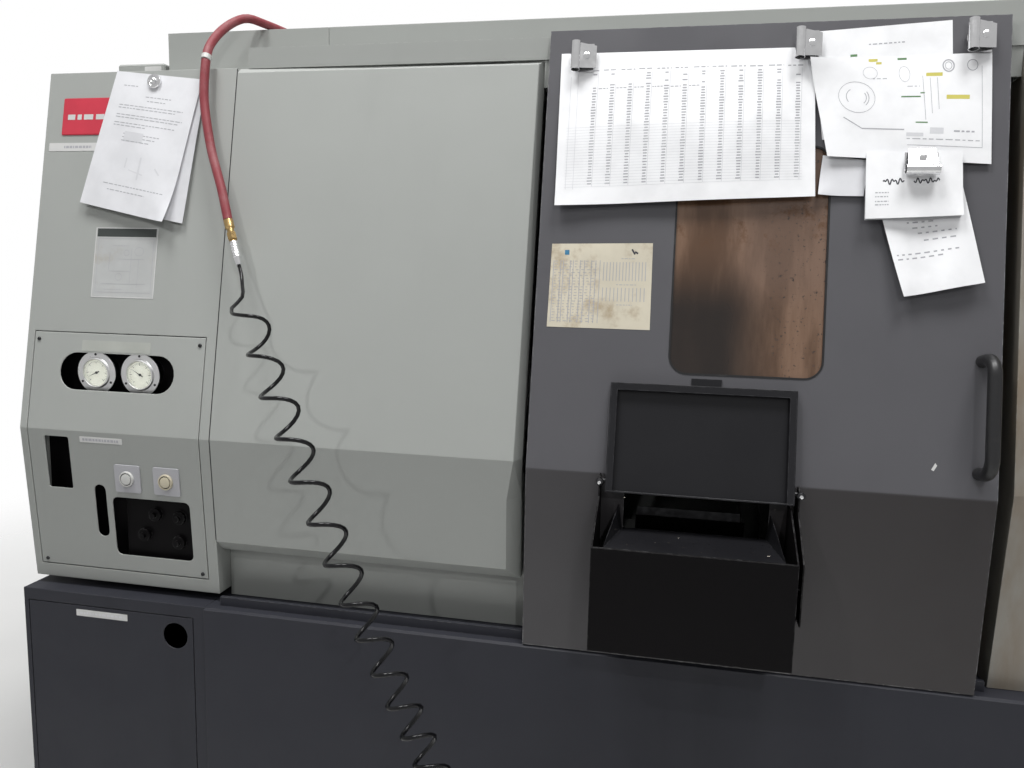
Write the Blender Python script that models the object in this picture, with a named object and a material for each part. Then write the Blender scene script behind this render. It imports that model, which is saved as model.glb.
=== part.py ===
"""A bar-fed CNC turning lathe with a sliding door, in metres, +Z up.

The origin is on the floor under the middle of the machine. +X is to the right as the operator faces the
front, and +Y is towards the back.
"""

import math

import bmesh
import bpy
from mathutils import Matrix, Vector

# Overall
LENGTH = 2.500
CATCHER_TO_BACK = 1.490
LEFT = -LENGTH / 2
RIGHT = LENGTH / 2
BACK_Y = CATCHER_TO_BACK / 2
CATCHER_FRONT_Y = -CATCHER_TO_BACK / 2
GAP = 0.0003

# Heights above the floor
FOOT_HEIGHT = 0.050
LEDGE_Z = 0.660
KNEE_Z = LEDGE_Z + 0.342
PANEL_TOP_Z = LEDGE_Z + 1.076
HOOD_TOP_Z = LEDGE_Z + 1.190

# The front sheets: a lower part that leans in downwards, a knee, and an upper part that leans back
KNEE_Y = CATCHER_FRONT_Y + 0.165
UPPER_SLOPE = 0.184
LOWER_SLOPE = 0.0745
SHEET = 0.0025
BASE_FRONT_Y = KNEE_Y - 0.013

# Column, centre cover and door along the front
COLUMN_LEFT = LEFT + 0.005
COLUMN_WIDTH = 0.432
COLUMN_DEPTH = 0.258
COLUMN_FOOT_Z = LEDGE_Z + 0.017
COVER_LEFT = COLUMN_LEFT + COLUMN_WIDTH + GAP
COVER_RIGHT = COLUMN_LEFT + 1.054
COVER_FOOT_Z = LEDGE_Z + 0.131
COVER_DEPTH = 0.040
COVER_EDGE = 0.022
DOOR_LEFT = COLUMN_LEFT + 1.069
DOOR_WIDTH = 0.764
DOOR_RIGHT = DOOR_LEFT + DOOR_WIDTH
DOOR_FOOT_Z = LEDGE_Z + 0.002
DOOR_TOP_Z = LEDGE_Z + 1.119
DOOR_KNEE_Z = KNEE_Z - 0.004
DOOR_PROUD = 0.025
DOOR_DEPTH = 0.020
DOOR_LOWER_SLOPE = 0.0387
DOORWAY_RIGHT = COLUMN_LEFT + 1.865

# Gauge panel on the column
PANEL_LEFT = COLUMN_LEFT + 0.018
PANEL_RIGHT = COLUMN_LEFT + 0.408
PANEL_LOW_Z = LEDGE_Z + 0.047
PANEL_HIGH_Z = LEDGE_Z + 0.539
PANEL_REVEAL = 0.0015
GAUGE_Z = LEDGE_Z + 0.462
GAUGE_LEFT_X = COLUMN_LEFT + 0.169
GAUGE_SPACING = 0.100
GAUGE_RADIUS = 0.0285
GAUGE_FLANGE_RADIUS = 0.043
GAUGE_SLOT_LENGTH = 0.260
GAUGE_SLOT_HEIGHT = 0.075
KNOB_LEFT_X = COLUMN_LEFT + 0.244
KNOB_SPACING = 0.088
KNOB_Z = LEDGE_Z + 0.249
KNOB_RADIUS = 0.016
KNOB_HEIGHT = 0.017
BACK_PLATE_SETBACK = 0.056
BACK_PLATE_LAP = 0.012
STEM_RADIUS = 0.0055
VALVE_LEFT = COLUMN_LEFT + 0.202
VALVE_RIGHT = COLUMN_LEFT + 0.378
VALVE_LOW_Z = LEDGE_Z + 0.082
VALVE_HIGH_Z = LEDGE_Z + 0.207

# Window, catcher box and handle on the door
WINDOW_LEFT = COLUMN_LEFT + 1.309
WINDOW_RIGHT = COLUMN_LEFT + 1.561
WINDOW_LOW_Z = LEDGE_Z + 0.515
WINDOW_HIGH_Z = LEDGE_Z + 0.905
WINDOW_CORNER = 0.030
PANE_THICKNESS = 0.008
PANE_LAP = 0.014
CATCHER_LEFT = COLUMN_LEFT + 1.202
CATCHER_RIGHT = COLUMN_LEFT + 1.518
CATCHER_LOW_Z = LEDGE_Z + 0.078
CATCHER_RIM_Z = LEDGE_Z + 0.250
CATCHER_REAR_RIM_Z = LEDGE_Z + 0.306
LID_PIVOT_Z = LEDGE_Z + 0.331
LID_PIVOT_OUT = 0.023
LID_HEIGHT = 0.170
LID_BELOW = 0.019
LID_RIM = 0.015
LID_TAB = 0.014
LID_TAB_WIDTH = 0.051
PIN_RADIUS = 0.004
LID_PIVOT_SETBACK = 0.009
EAR_RADIUS = 0.013
EAR_RIGHT = CATCHER_RIGHT + 0.011
CHUTE_MARGIN = 0.018
CHUTE_SHEET = 0.0015
CHUTE_SIDE = 0.042
HANDLE_X = COLUMN_LEFT + 1.804
HANDLE_LOW_Z = LEDGE_Z + 0.378
HANDLE_HIGH_Z = LEDGE_Z + 0.556
HANDLE_REACH = 0.052
HANDLE_RADIUS = 0.011
HANDLE_BEND = 0.028

# Rail over the door and guide under it
RAIL_THICKNESS = 0.014
RAIL_LEFT = COVER_LEFT + 0.020
RAIL_RIGHT = DOORWAY_RIGHT + 0.050
GUIDE_HEIGHT = 0.018
GUIDE_THICKNESS = 0.008

# Lower-left cabinet
CABINET_RIGHT = COLUMN_LEFT + 0.417
CABINET_FRONT_Y = KNEE_Y - 0.009
CABINET_DEPTH = 0.300
CABINET_FOOT_Z = 0.110
CABINET_DOOR_LEFT = COLUMN_LEFT + 0.007
CABINET_DOOR_RIGHT = COLUMN_LEFT + 0.390
CABINET_DOOR_TOP_Z = LEDGE_Z - 0.027
CABINET_DOOR_LOW_Z = CABINET_FOOT_Z + 0.030
CABINET_DOOR_SHEET = 0.003
FINGER_HOLE_X = COLUMN_LEFT + 0.350
FINGER_HOLE_Z = LEDGE_Z - 0.068
FINGER_HOLE_RADIUS = 0.0275

# Hoods and covers behind the front
HOOD_FRONT_Y = KNEE_Y + 0.271
HOOD_LEFT = COLUMN_LEFT + 0.186
HOOD_SEAM = COLUMN_LEFT + 0.567
HOOD_RIGHT = COLUMN_LEFT + 1.980
HOOD_DEPTH = 0.480
ROOF_THICKNESS = 0.020
BACK_RIM = 0.020

# Spindle line and the slanted ways
SPINDLE_Y = KNEE_Y + 0.360
SPINDLE_Z = LEDGE_Z + 0.420
SLANT = math.radians(45)
WAY_OFFSET = 0.270
WAY_HEIGHT = 0.025
WAY_WIDTH = 0.050
LOWER_WAY = -0.220
UPPER_WAY = 0.330
BED_LOW = -0.280
BED_HIGH = 0.420
BED_LEFT = COLUMN_LEFT + 0.500
BED_RIGHT = COLUMN_LEFT + 1.820
BED_REAR_Y = SPINDLE_Y + 0.590
HEADSTOCK_LEFT = COLUMN_LEFT + 0.560
HEADSTOCK_RIGHT = COLUMN_LEFT + 1.030
SPINDLE_LEFT = COLUMN_LEFT + 0.060
SPINDLE_NOSE = COLUMN_LEFT + 1.100
SPINDLE_RADIUS = 0.070
SPINDLE_BORE = 0.031
CHUCK_RADIUS = 0.105
CHUCK_LENGTH = 0.092
CHUCK_BORE = 0.028
JAW_COUNT = 3
JAW_WIDTH = 0.034
JAW_SLOT_DEPTH = 0.020
JAW_TRAVEL = 0.0055
JAW_INNER = 0.036

# Turret
CARRIAGE_LEFT = COLUMN_LEFT + 1.480
CARRIAGE_RIGHT = COLUMN_LEFT + 1.760
CARRIAGE_TOP = -0.185
CROSS_TOP = -0.130
TURRET_S = 0.270
TURRET_LEFT = COLUMN_LEFT + 1.405
TURRET_THICKNESS = 0.070
TURRET_RADIUS = 0.165
TURRET_STATIONS = 12
POCKET_DEPTH = 0.026

# Operator's panel
CONSOLE_X = COLUMN_LEFT + 2.190
CONSOLE_Z = LEDGE_Z + 0.720
CONSOLE_WIDTH = 0.400
CONSOLE_HEIGHT = 0.600
CONSOLE_DEPTH = 0.055
SCREEN_WIDTH = 0.240
SCREEN_HEIGHT = 0.180

# Air hoses
HOSE_RADIUS = 0.0088
COIL_RADIUS = 0.0385
LEADER_RADIUS = 0.0045
FITTING_RADIUS = 0.0085

FINISHES = {
    "light_paint": ((0.37, 0.39, 0.35), 0.45, 0.0),
    "dark_paint": ((0.10, 0.10, 0.11), 0.45, 0.0),
    "base_paint": ((0.050, 0.050, 0.055), 0.5, 0.0),
    "black_paint": ((0.012, 0.012, 0.014), 0.4, 0.0),
    "steel": ((0.55, 0.55, 0.56), 0.3, 1.0),
    "castings": ((0.20, 0.21, 0.20), 0.55, 0.0),
    "chrome": ((0.80, 0.80, 0.80), 0.15, 1.0),
    "brass": ((0.60, 0.42, 0.16), 0.3, 1.0),
    "glass": ((0.20, 0.12, 0.07), 0.2, 0.0),
    "screen": ((0.010, 0.012, 0.015), 0.15, 0.0),
    "gauge_face": ((0.80, 0.75, 0.60), 0.3, 0.0),
    "white_plastic": ((0.75, 0.75, 0.72), 0.4, 0.0),
    "red_plastic": ((0.55, 0.02, 0.02), 0.35, 0.0),
    "green_plastic": ((0.02, 0.35, 0.08), 0.35, 0.0),
    "black_plastic": ((0.015, 0.015, 0.016), 0.4, 0.0),
    "red_rubber": ((0.36, 0.10, 0.09), 0.6, 0.0),
    "black_rubber": ((0.010, 0.010, 0.010), 0.35, 0.0),
}


def clear_scene():
    for obj in list(bpy.data.objects):
        bpy.data.objects.remove(obj, do_unlink=True)


def finish_material(name):
    found = bpy.data.materials.get(name)
    if found:
        return found
    colour, roughness, metallic = FINISHES[name]
    made = bpy.data.materials.new(name)
    made.use_nodes = True
    shader = made.node_tree.nodes["Principled BSDF"]
    shader.inputs["Base Color"].default_value = (*colour, 1.0)
    shader.inputs["Roughness"].default_value = roughness
    shader.inputs["Metallic"].default_value = metallic
    return made


def add(name, bm, finish, origin=(0, 0, 0), smooth=False):
    """Makes the object, with its origin moved to the given point and its shape left where it is."""
    bmesh.ops.remove_doubles(bm, verts=bm.verts, dist=1e-6)
    bmesh.ops.recalc_face_normals(bm, faces=bm.faces)
    bmesh.ops.translate(bm, verts=bm.verts, vec=-Vector(origin))
    mesh = bpy.data.meshes.new(name)
    bm.to_mesh(mesh)
    bm.free()
    if smooth:
        mesh.shade_smooth()
        mesh.set_sharp_from_angle(angle=math.radians(35))
    mesh.materials.append(finish_material(finish))
    obj = bpy.data.objects.new(name, mesh)
    obj.location = origin
    bpy.context.scene.collection.objects.link(obj)
    return obj


def boolean(target, tool, operation="DIFFERENCE"):
    tool.hide_render = True
    tool.display_type = "WIRE"
    modifier = target.modifiers.new(tool.name, "BOOLEAN")
    modifier.operation = operation
    modifier.object = tool
    modifier.solver = "EXACT"


def union(target, tool):
    boolean(target, tool, "UNION")


def bevel(obj, width, segments=1):
    modifier = obj.modifiers.new("edges", "BEVEL")
    modifier.width = width
    modifier.segments = segments
    modifier.limit_method = "ANGLE"
    modifier.angle_limit = math.radians(40)


def solidify(obj, thickness):
    """Gives a sheet its thickness, inwards from the side that its normals face."""
    modifier = obj.modifiers.new("sheet", "SOLIDIFY")
    modifier.thickness = thickness
    modifier.offset = -1
    modifier.use_even_offset = True
    modifier.use_rim = True


def box_mesh(low, high):
    bm = bmesh.new()
    low, high = Vector(low), Vector(high)
    bmesh.ops.create_cube(bm, size=1.0)
    bmesh.ops.scale(bm, vec=high - low, verts=bm.verts)
    bmesh.ops.translate(bm, vec=(low + high) / 2, verts=bm.verts)
    return bm


def prism_mesh(outline, vector):
    """A closed outline of 3D points, extruded along a vector."""
    bm = bmesh.new()
    vector = Vector(vector)
    near = [bm.verts.new(p) for p in outline]
    far = [bm.verts.new(Vector(p) + vector) for p in outline]
    bm.faces.new(near)
    bm.faces.new(reversed(far))
    count = len(outline)
    for i in range(count):
        j = (i + 1) % count
        bm.faces.new((near[i], near[j], far[j], far[i]))
    return bm


def along_x(outline_yz, x0, x1):
    return prism_mesh([(x0, y, z) for y, z in outline_yz], (x1 - x0, 0, 0))


def through_front(outline_xz, y0, y1):
    return prism_mesh([(x, y0, z) for x, z in outline_xz], (0, y1 - y0, 0))


def tray_mesh(outline, vector):
    """A face with a rim all round it, open on the side that the vector points to."""
    bm = prism_mesh(outline, vector)
    bm.faces.ensure_lookup_table()
    bmesh.ops.delete(bm, geom=[bm.faces[1]], context="FACES_ONLY")
    return bm


def turned_mesh(profile, sides, base, axis, closed_ring=False):
    """Turns (radius, distance) points about an axis through base."""
    bm = bmesh.new()
    turn = Vector(axis).normalized().to_track_quat("Z", "Y").to_matrix()
    base = Vector(base)
    rings = []
    for radius, distance in profile:
        if radius == 0:
            rings.append([bm.verts.new(base + turn @ Vector((0, 0, distance)))])
            continue
        ring = []
        for i in range(sides):
            angle = 2 * math.pi * i / sides
            point = Vector((radius * math.cos(angle), radius * math.sin(angle), distance))
            ring.append(bm.verts.new(base + turn @ point))
        rings.append(ring)
    pairs = list(zip(rings, rings[1:]))
    if closed_ring:
        pairs.append((rings[-1], rings[0]))
    for a, b in pairs:
        for i in range(sides):
            j = (i + 1) % sides
            if len(a) == 1:
                bm.faces.new((a[0], b[i], b[j]))
            elif len(b) == 1:
                bm.faces.new((a[i], b[0], a[j]))
            else:
                bm.faces.new((a[i], b[i], b[j], a[j]))
    return bm


def disc_mesh(radius, sides, base, axis, length):
    return turned_mesh([(0, 0), (radius, 0), (radius, length), (0, length)], sides, base, axis)


def running_radius(radius, sides):
    """A hole whose flats stay clear of a shaft that turns in it."""
    return (radius + GAP) / math.cos(math.pi / sides)


def rounded_rectangle(x0, x1, z0, z1, radius, steps=4):
    """Corner arcs of a rectangle, as (x, z) points in order round it."""
    points = []
    corners = ((x1, z1, 0), (x0, z1, 90), (x0, z0, 180), (x1, z0, 270))
    for x, z, start in corners:
        cx = x - radius if x == x1 else x + radius
        cz = z - radius if z == z1 else z + radius
        for i in range(steps + 1):
            angle = math.radians(start + 90 * i / steps)
            points.append((cx + radius * math.cos(angle), cz + radius * math.sin(angle)))
    return points


def front_y(z):
    """The front plane of the column and the centre cover at a height."""
    if z >= KNEE_Z:
        return KNEE_Y + UPPER_SLOPE * (z - KNEE_Z)
    return KNEE_Y + LOWER_SLOPE * (KNEE_Z - z)


def door_y(z):
    """The door's front plane at a height."""
    if z >= DOOR_KNEE_Z:
        return KNEE_Y - DOOR_PROUD + UPPER_SLOPE * (z - DOOR_KNEE_Z)
    return KNEE_Y - DOOR_PROUD + DOOR_LOWER_SLOPE * (DOOR_KNEE_Z - z)


def slant_point(s, n):
    """(y, z) of a point s up the slant and n out of the ways, from the spindle's axis."""
    return (
        SPINDLE_Y + s * math.cos(SLANT) - n * math.sin(SLANT),
        SPINDLE_Z + s * math.sin(SLANT) + n * math.cos(SLANT),
    )


def pan_mesh(front_left, front_right, rim_left, rim_right, back_left, back_right):
    """A folded front: a face of strips, an edge down to the rim, and flanges back from it.

    Each list runs from the bottom to the top and holds 3D points.
    """
    bm = bmesh.new()
    rings = []
    for left, right in (
        (front_left, front_right),
        (rim_left, rim_right),
        (back_left, back_right),
    ):
        rings.append([bm.verts.new(p) for p in list(left) + list(reversed(right))])
    count = len(rings[0])
    rows = len(front_left)
    for i in range(rows - 1):
        front = rings[0]
        bm.faces.new((front[i], front[i + 1], front[count - 2 - i], front[count - 1 - i]))
    for near, far in zip(rings, rings[1:]):
        for i in range(count):
            j = (i + 1) % count
            bm.faces.new((near[i], near[j], far[j], far[i]))
    bmesh.ops.remove_doubles(bm, verts=bm.verts, dist=1e-5)
    return bm


def flat_pan(front_profile, x0, x1, back_points):
    """A pan with no sloping edge, whose profile is the same from x0 to x1."""
    left = [(x0, y, z) for y, z in front_profile]
    right = [(x1, y, z) for y, z in front_profile]
    back_left = [(x0, y, z) for y, z in back_points]
    back_right = [(x1, y, z) for y, z in back_points]
    bm = bmesh.new()
    front_ring = [bm.verts.new(p) for p in left + right[::-1]]
    back_ring = [bm.verts.new(p) for p in back_left + back_right[::-1]]
    count = len(front_ring)
    for i in range(len(left) - 1):
        bm.faces.new(
            (front_ring[i], front_ring[i + 1], front_ring[count - 2 - i], front_ring[count - 1 - i])
        )
    for i in range(count):
        j = (i + 1) % count
        bm.faces.new((front_ring[i], front_ring[j], back_ring[j], back_ring[i]))
    return bm


def smooth_route(points, spacing):
    """Points a set distance apart on a smooth curve through the route's own points."""
    pts = [Vector(p) for p in points]
    dense = []
    for i in range(len(pts) - 1):
        before = pts[i - 1] if i else pts[0] * 2 - pts[1]
        after = pts[i + 2] if i + 2 < len(pts) else pts[-1] * 2 - pts[-2]
        a, b = pts[i], pts[i + 1]
        for k in range(24):
            t = k / 24
            dense.append(
                0.5
                * (
                    2 * a
                    + (b - before) * t
                    + (2 * before - 5 * a + 4 * b - after) * t**2
                    + (3 * a - before - 3 * b + after) * t**3
                )
            )
    dense.append(pts[-1])
    total = sum((b - a).length for a, b in zip(dense, dense[1:]))
    count = max(2, round(total / spacing))
    step = total / count
    route = [dense[0]]
    walked = 0.0
    target = step
    for a, b in zip(dense, dense[1:]):
        length = (b - a).length
        while len(route) < count and walked + length >= target:
            route.append(a.lerp(b, (target - walked) / length))
            target += step
        walked += length
    route.append(dense[-1])
    return route


def tube(name, route, radius, finish, radii=None, resolution=2):
    curve = bpy.data.curves.new(name, "CURVE")
    curve.dimensions = "3D"
    curve.bevel_depth = radius
    curve.bevel_resolution = resolution
    curve.use_fill_caps = True
    spline = curve.splines.new("POLY")
    spline.points.add(len(route) - 1)
    for i, (point, place) in enumerate(zip(spline.points, route)):
        point.co = (*place, 1.0)
        if radii:
            point.radius = radii[i]
    curve.materials.append(finish_material(finish))
    obj = bpy.data.objects.new(name, curve)
    bpy.context.scene.collection.objects.link(obj)
    return obj


def at(x, y, z):
    """A point given from the column's left edge, the knee and the ledge."""
    return (COLUMN_LEFT + x, KNEE_Y + y, LEDGE_Z + z)


# Base, feet and cabinet


BASE_REAR_Y = BACK_Y - 0.004
BASE_RECESS_Y = CABINET_FRONT_Y + CABINET_DEPTH + GAP
FOOT_INSET = 0.110
POCKET_WIDTH = 0.180
POCKET_HEIGHT = 0.070
TROUGH_NEAR = 0.040
TROUGH_FAR = 0.330
TROUGH_KNEE = 0.250
TROUGH_NEAR_DEPTH = 0.030
TROUGH_DEPTH = 0.110
TRAY_SHEET = 0.002


def make_base():
    bottom = FOOT_HEIGHT
    body = box_mesh((LEFT, BASE_FRONT_Y, bottom), (RIGHT, BASE_REAR_Y, LEDGE_Z))
    base = add("machine_base", body, "base_paint")
    bevel(base, 0.004)
    # The cabinet stands in a recess at the left end
    recess = box_mesh(
        (LEFT - 0.1, BASE_FRONT_Y - 0.1, bottom - 0.1),
        (CABINET_RIGHT + GAP, BASE_RECESS_Y, LEDGE_Z + 0.1),
    )
    boolean(base, add("cut_cabinet_recess", recess, "base_paint"))
    # Pockets for a fork lift run through from front to back
    for number, x in enumerate((LENGTH * -0.16, LENGTH * 0.24)):
        pocket = box_mesh(
            (x - POCKET_WIDTH / 2, BASE_FRONT_Y - 0.1, bottom - 0.02),
            (x + POCKET_WIDTH / 2, BASE_REAR_Y + 0.1, bottom + POCKET_HEIGHT),
        )
        boolean(base, add(f"cut_pocket_{number}", pocket, "base_paint"))
    # The trough that the chip tray hangs in
    trough = along_x(
        [
            (KNEE_Y + TROUGH_NEAR, LEDGE_Z + 0.02),
            (KNEE_Y + TROUGH_NEAR, LEDGE_Z - TROUGH_NEAR_DEPTH),
            (KNEE_Y + TROUGH_KNEE, LEDGE_Z - TROUGH_DEPTH),
            (KNEE_Y + TROUGH_FAR, LEDGE_Z - TROUGH_DEPTH),
            (KNEE_Y + TROUGH_FAR, LEDGE_Z + 0.02),
        ],
        DOOR_LEFT + 0.030,
        DOOR_RIGHT - 0.010,
    )
    boolean(base, add("cut_trough", trough, "base_paint"))


def make_feet():
    spots = (
        (LEFT + FOOT_INSET, BASE_RECESS_Y + 0.08),
        (RIGHT - FOOT_INSET, BASE_FRONT_Y + FOOT_INSET),
        (LEFT + FOOT_INSET, BASE_REAR_Y - FOOT_INSET),
        (RIGHT - FOOT_INSET, BASE_REAR_Y - FOOT_INSET),
    )
    profile = [
        (0, 0),
        (0.050, 0),
        (0.050, 0.010),
        (0.036, 0.018),
        (0.016, 0.018),
        (0.016, FOOT_HEIGHT - 0.016),
        (0.026, FOOT_HEIGHT - 0.016),
        (0.026, FOOT_HEIGHT - GAP),
        (0, FOOT_HEIGHT - GAP),
    ]
    for number, (x, y) in enumerate(spots, 1):
        mesh = turned_mesh(profile, 16, (x, y, 0), (0, 0, 1))
        add(f"levelling_foot_{number}", mesh, "steel", (x, y, 0), smooth=True)


def make_cabinet():
    outline = [
        (LEFT, CABINET_FRONT_Y, CABINET_FOOT_Z),
        (CABINET_RIGHT, CABINET_FRONT_Y, CABINET_FOOT_Z),
        (CABINET_RIGHT, CABINET_FRONT_Y, LEDGE_Z),
        (LEFT, CABINET_FRONT_Y, LEDGE_Z),
    ]
    cabinet = add("coolant_cabinet", tray_mesh(outline, (0, CABINET_DEPTH, 0)), "base_paint")
    solidify(cabinet, SHEET)
    doorway = box_mesh(
        (CABINET_DOOR_LEFT - 0.0015, CABINET_FRONT_Y - 0.02, CABINET_DOOR_LOW_Z - 0.0015),
        (CABINET_DOOR_RIGHT + 0.0015, CABINET_FRONT_Y + 0.02, CABINET_DOOR_TOP_Z + 0.0015),
    )
    boolean(cabinet, add("cut_cabinet_doorway", doorway, "base_paint"))
    # A lug behind the opening carries the door's hinge side
    lug = box_mesh(
        (LEFT + SHEET / 2, CABINET_FRONT_Y + CABINET_DOOR_SHEET + 0.001, CABINET_FOOT_Z + 0.002),
        (CABINET_DOOR_LEFT - GAP, CABINET_FRONT_Y + 0.022, LEDGE_Z - 0.002),
    )
    union(cabinet, add("join_hinge_lug", lug, "base_paint"))

    hinge = (CABINET_DOOR_LEFT, CABINET_FRONT_Y, (CABINET_DOOR_LOW_Z + CABINET_DOOR_TOP_Z) / 2)
    sheet = [
        (CABINET_DOOR_LEFT, CABINET_FRONT_Y, CABINET_DOOR_LOW_Z),
        (CABINET_DOOR_RIGHT, CABINET_FRONT_Y, CABINET_DOOR_LOW_Z),
        (CABINET_DOOR_RIGHT, CABINET_FRONT_Y, CABINET_DOOR_TOP_Z),
        (CABINET_DOOR_LEFT, CABINET_FRONT_Y, CABINET_DOOR_TOP_Z),
    ]
    door = add("cabinet_door", tray_mesh(sheet, (0, 0.012, 0)), "base_paint", hinge)
    solidify(door, CABINET_DOOR_SHEET)
    hole = disc_mesh(
        FINGER_HOLE_RADIUS, 24, (FINGER_HOLE_X, CABINET_FRONT_Y - 0.02, FINGER_HOLE_Z), (0, 1, 0), 0.05
    )
    boolean(door, add("cut_finger_hole", hole, "base_paint"))


# Left column with its gauge panel


def column_profile():
    zs = (COLUMN_FOOT_Z, KNEE_Z, PANEL_TOP_Z)
    return [(front_y(z), z) for z in zs]


def make_column():
    front = column_profile()
    back_y = KNEE_Y + COLUMN_DEPTH
    back = [(back_y, z) for _, z in front]
    mesh = flat_pan(front, COLUMN_LEFT, COLUMN_LEFT + COLUMN_WIDTH, back)
    column = add("left_column_cover", mesh, "light_paint")
    solidify(column, SHEET)
    # The opening that the gauge panel closes
    opening = through_front(
        [
            (PANEL_LEFT - PANEL_REVEAL, PANEL_LOW_Z - PANEL_REVEAL),
            (PANEL_RIGHT + PANEL_REVEAL, PANEL_LOW_Z - PANEL_REVEAL),
            (PANEL_RIGHT + PANEL_REVEAL, PANEL_HIGH_Z + PANEL_REVEAL),
            (PANEL_LEFT - PANEL_REVEAL, PANEL_HIGH_Z + PANEL_REVEAL),
        ],
        KNEE_Y - 0.10,
        KNEE_Y + 0.12,
    )
    boolean(column, add("cut_panel_opening", opening, "light_paint"))

    zs = (PANEL_LOW_Z, KNEE_Z, PANEL_HIGH_Z)
    front = [(front_y(z), z) for z in zs]
    rear = [(KNEE_Y + BACK_PLATE_SETBACK - GAP, z) for z in zs]
    panel = add("gauge_panel", flat_pan(front, PANEL_LEFT, PANEL_RIGHT, rear), "light_paint")
    solidify(panel, SHEET)
    slot_centre = GAUGE_LEFT_X + GAUGE_SPACING / 2 - 0.005
    cuts = (
        (
            "gauge_slot",
            rounded_rectangle(
                slot_centre - GAUGE_SLOT_LENGTH / 2,
                slot_centre + GAUGE_SLOT_LENGTH / 2,
                GAUGE_Z - GAUGE_SLOT_HEIGHT / 2,
                GAUGE_Z + GAUGE_SLOT_HEIGHT / 2,
                GAUGE_SLOT_HEIGHT / 2 - 0.0005,
                6,
            ),
        ),
        (
            "square_hole",
            rounded_rectangle(
                COLUMN_LEFT + 0.056, COLUMN_LEFT + 0.112, LEDGE_Z + 0.218, LEDGE_Z + 0.328, 0.003, 1
            ),
        ),
        (
            "upright_slot",
            rounded_rectangle(
                COLUMN_LEFT + 0.162, COLUMN_LEFT + 0.188, LEDGE_Z + 0.119, LEDGE_Z + 0.231, 0.0125, 4
            ),
        ),
        (
            "valve_window",
            rounded_rectangle(VALVE_LEFT, VALVE_RIGHT, VALVE_LOW_Z, VALVE_HIGH_Z, 0.012, 3),
        ),
    )
    for name, outline in cuts:
        cutter = add(f"cut_{name}", through_front(outline, KNEE_Y - 0.1, KNEE_Y + 0.1), "light_paint")
        boolean(panel, cutter)


def make_back_plate():
    """The plate behind the panel, on the column's side walls, with holes for gauges, knobs and valve."""
    y = KNEE_Y + BACK_PLATE_SETBACK
    x0 = COLUMN_LEFT + SHEET + GAP
    x1 = COLUMN_LEFT + COLUMN_WIDTH - SHEET - GAP
    outline = [
        (x0, y, PANEL_LOW_Z - BACK_PLATE_LAP),
        (x1, y, PANEL_LOW_Z - BACK_PLATE_LAP),
        (x1, y, PANEL_HIGH_Z + BACK_PLATE_LAP),
        (x0, y, PANEL_HIGH_Z + BACK_PLATE_LAP),
    ]
    plate = add("gauge_back_plate", tray_mesh(outline, (0, 0.030, 0)), "black_paint")
    solidify(plate, 0.003)
    for i in range(2):
        x = GAUGE_LEFT_X + i * GAUGE_SPACING
        hole = disc_mesh(GAUGE_RADIUS + 0.001, 24, (x, y - 0.02, GAUGE_Z), (0, 1, 0), 0.06)
        boolean(plate, add(f"cut_gauge_{i}", hole, "black_paint"))
        x = KNOB_LEFT_X + i * KNOB_SPACING
        hole = disc_mesh(running_radius(STEM_RADIUS, 12), 12, (x, y - 0.02, KNOB_Z), (0, 1, 0), 0.06)
        boolean(plate, add(f"cut_stem_{i}", hole, "black_paint"))
        hole = disc_mesh(running_radius(STEM_RADIUS, 12), 12, (x, KNEE_Y - 0.05, KNOB_Z), (0, 1, 0), 0.08)
        boolean(bpy.data.objects["gauge_panel"], add(f"cut_stem_front_{i}", hole, "black_paint"))
    return y


def make_gauges(plate_y):
    """Flanged pressure gauges that stand on the back plate and show through the slot."""
    for side, i in (("left", 0), ("right", 1)):
        x = GAUGE_LEFT_X + i * GAUGE_SPACING
        seat = plate_y - GAP
        profile = [
            (0, -0.030),
            (GAUGE_RADIUS - 0.002, -0.030),
            (GAUGE_RADIUS - 0.002, 0),
            (GAUGE_FLANGE_RADIUS, 0),
            (GAUGE_FLANGE_RADIUS, 0.002),
            (GAUGE_RADIUS + 0.004, 0.003),
            (GAUGE_RADIUS + 0.003, 0.017),
            (GAUGE_RADIUS, 0.018),
            (GAUGE_RADIUS, 0.014),
            (0, 0.014),
        ]
        mesh = turned_mesh(profile, 28, (x, seat, GAUGE_Z), (0, -1, 0))
        add(f"pressure_gauge_{side}", mesh, "chrome", smooth=True)


def make_knobs(plate_y):
    for side, i in (("left", 0), ("right", 1)):
        x = KNOB_LEFT_X + i * KNOB_SPACING
        face = front_y(KNOB_Z)
        base = (x, face, KNOB_Z)
        profile = [
            (0, face - plate_y + 0.004),
            (STEM_RADIUS, face - plate_y + 0.004),
            (STEM_RADIUS, 0.0035),
            (KNOB_RADIUS, 0.0035),
            (KNOB_RADIUS, KNOB_HEIGHT - 0.003),
            (KNOB_RADIUS - 0.003, KNOB_HEIGHT),
            (0, KNOB_HEIGHT),
        ]
        mesh = turned_mesh(profile, 24, base, (0, -1, 0))
        add(f"pressure_knob_{side}", mesh, "white_plastic", base, smooth=True)


def make_valve(plate_y):
    """A stack of valves on the back plate, with its adjusting screws towards the window."""
    seat = plate_y - GAP
    block = box_mesh(
        (VALVE_LEFT + 0.012, seat - 0.020, VALVE_LOW_Z - 0.008),
        (VALVE_RIGHT - 0.010, seat, VALVE_HIGH_Z - 0.006),
    )
    valve = add("valve_block", block, "black_paint")
    bevel(valve, 0.003)
    screws = ((0.340, 0.167), (0.338, 0.115), (0.259, 0.125), (0.285, 0.170))
    for number, (x, z) in enumerate(screws):
        profile = [(0, -0.004), (0.014, -0.004), (0.014, 0.008), (0.006, 0.009), (0.006, 0.016), (0, 0.016)]
        base = (COLUMN_LEFT + x, seat - 0.020, LEDGE_Z + z)
        mesh = turned_mesh(profile, 12, base, (0, -1, 0))
        union(valve, add(f"join_screw_{number}", mesh, "black_paint"))


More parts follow.
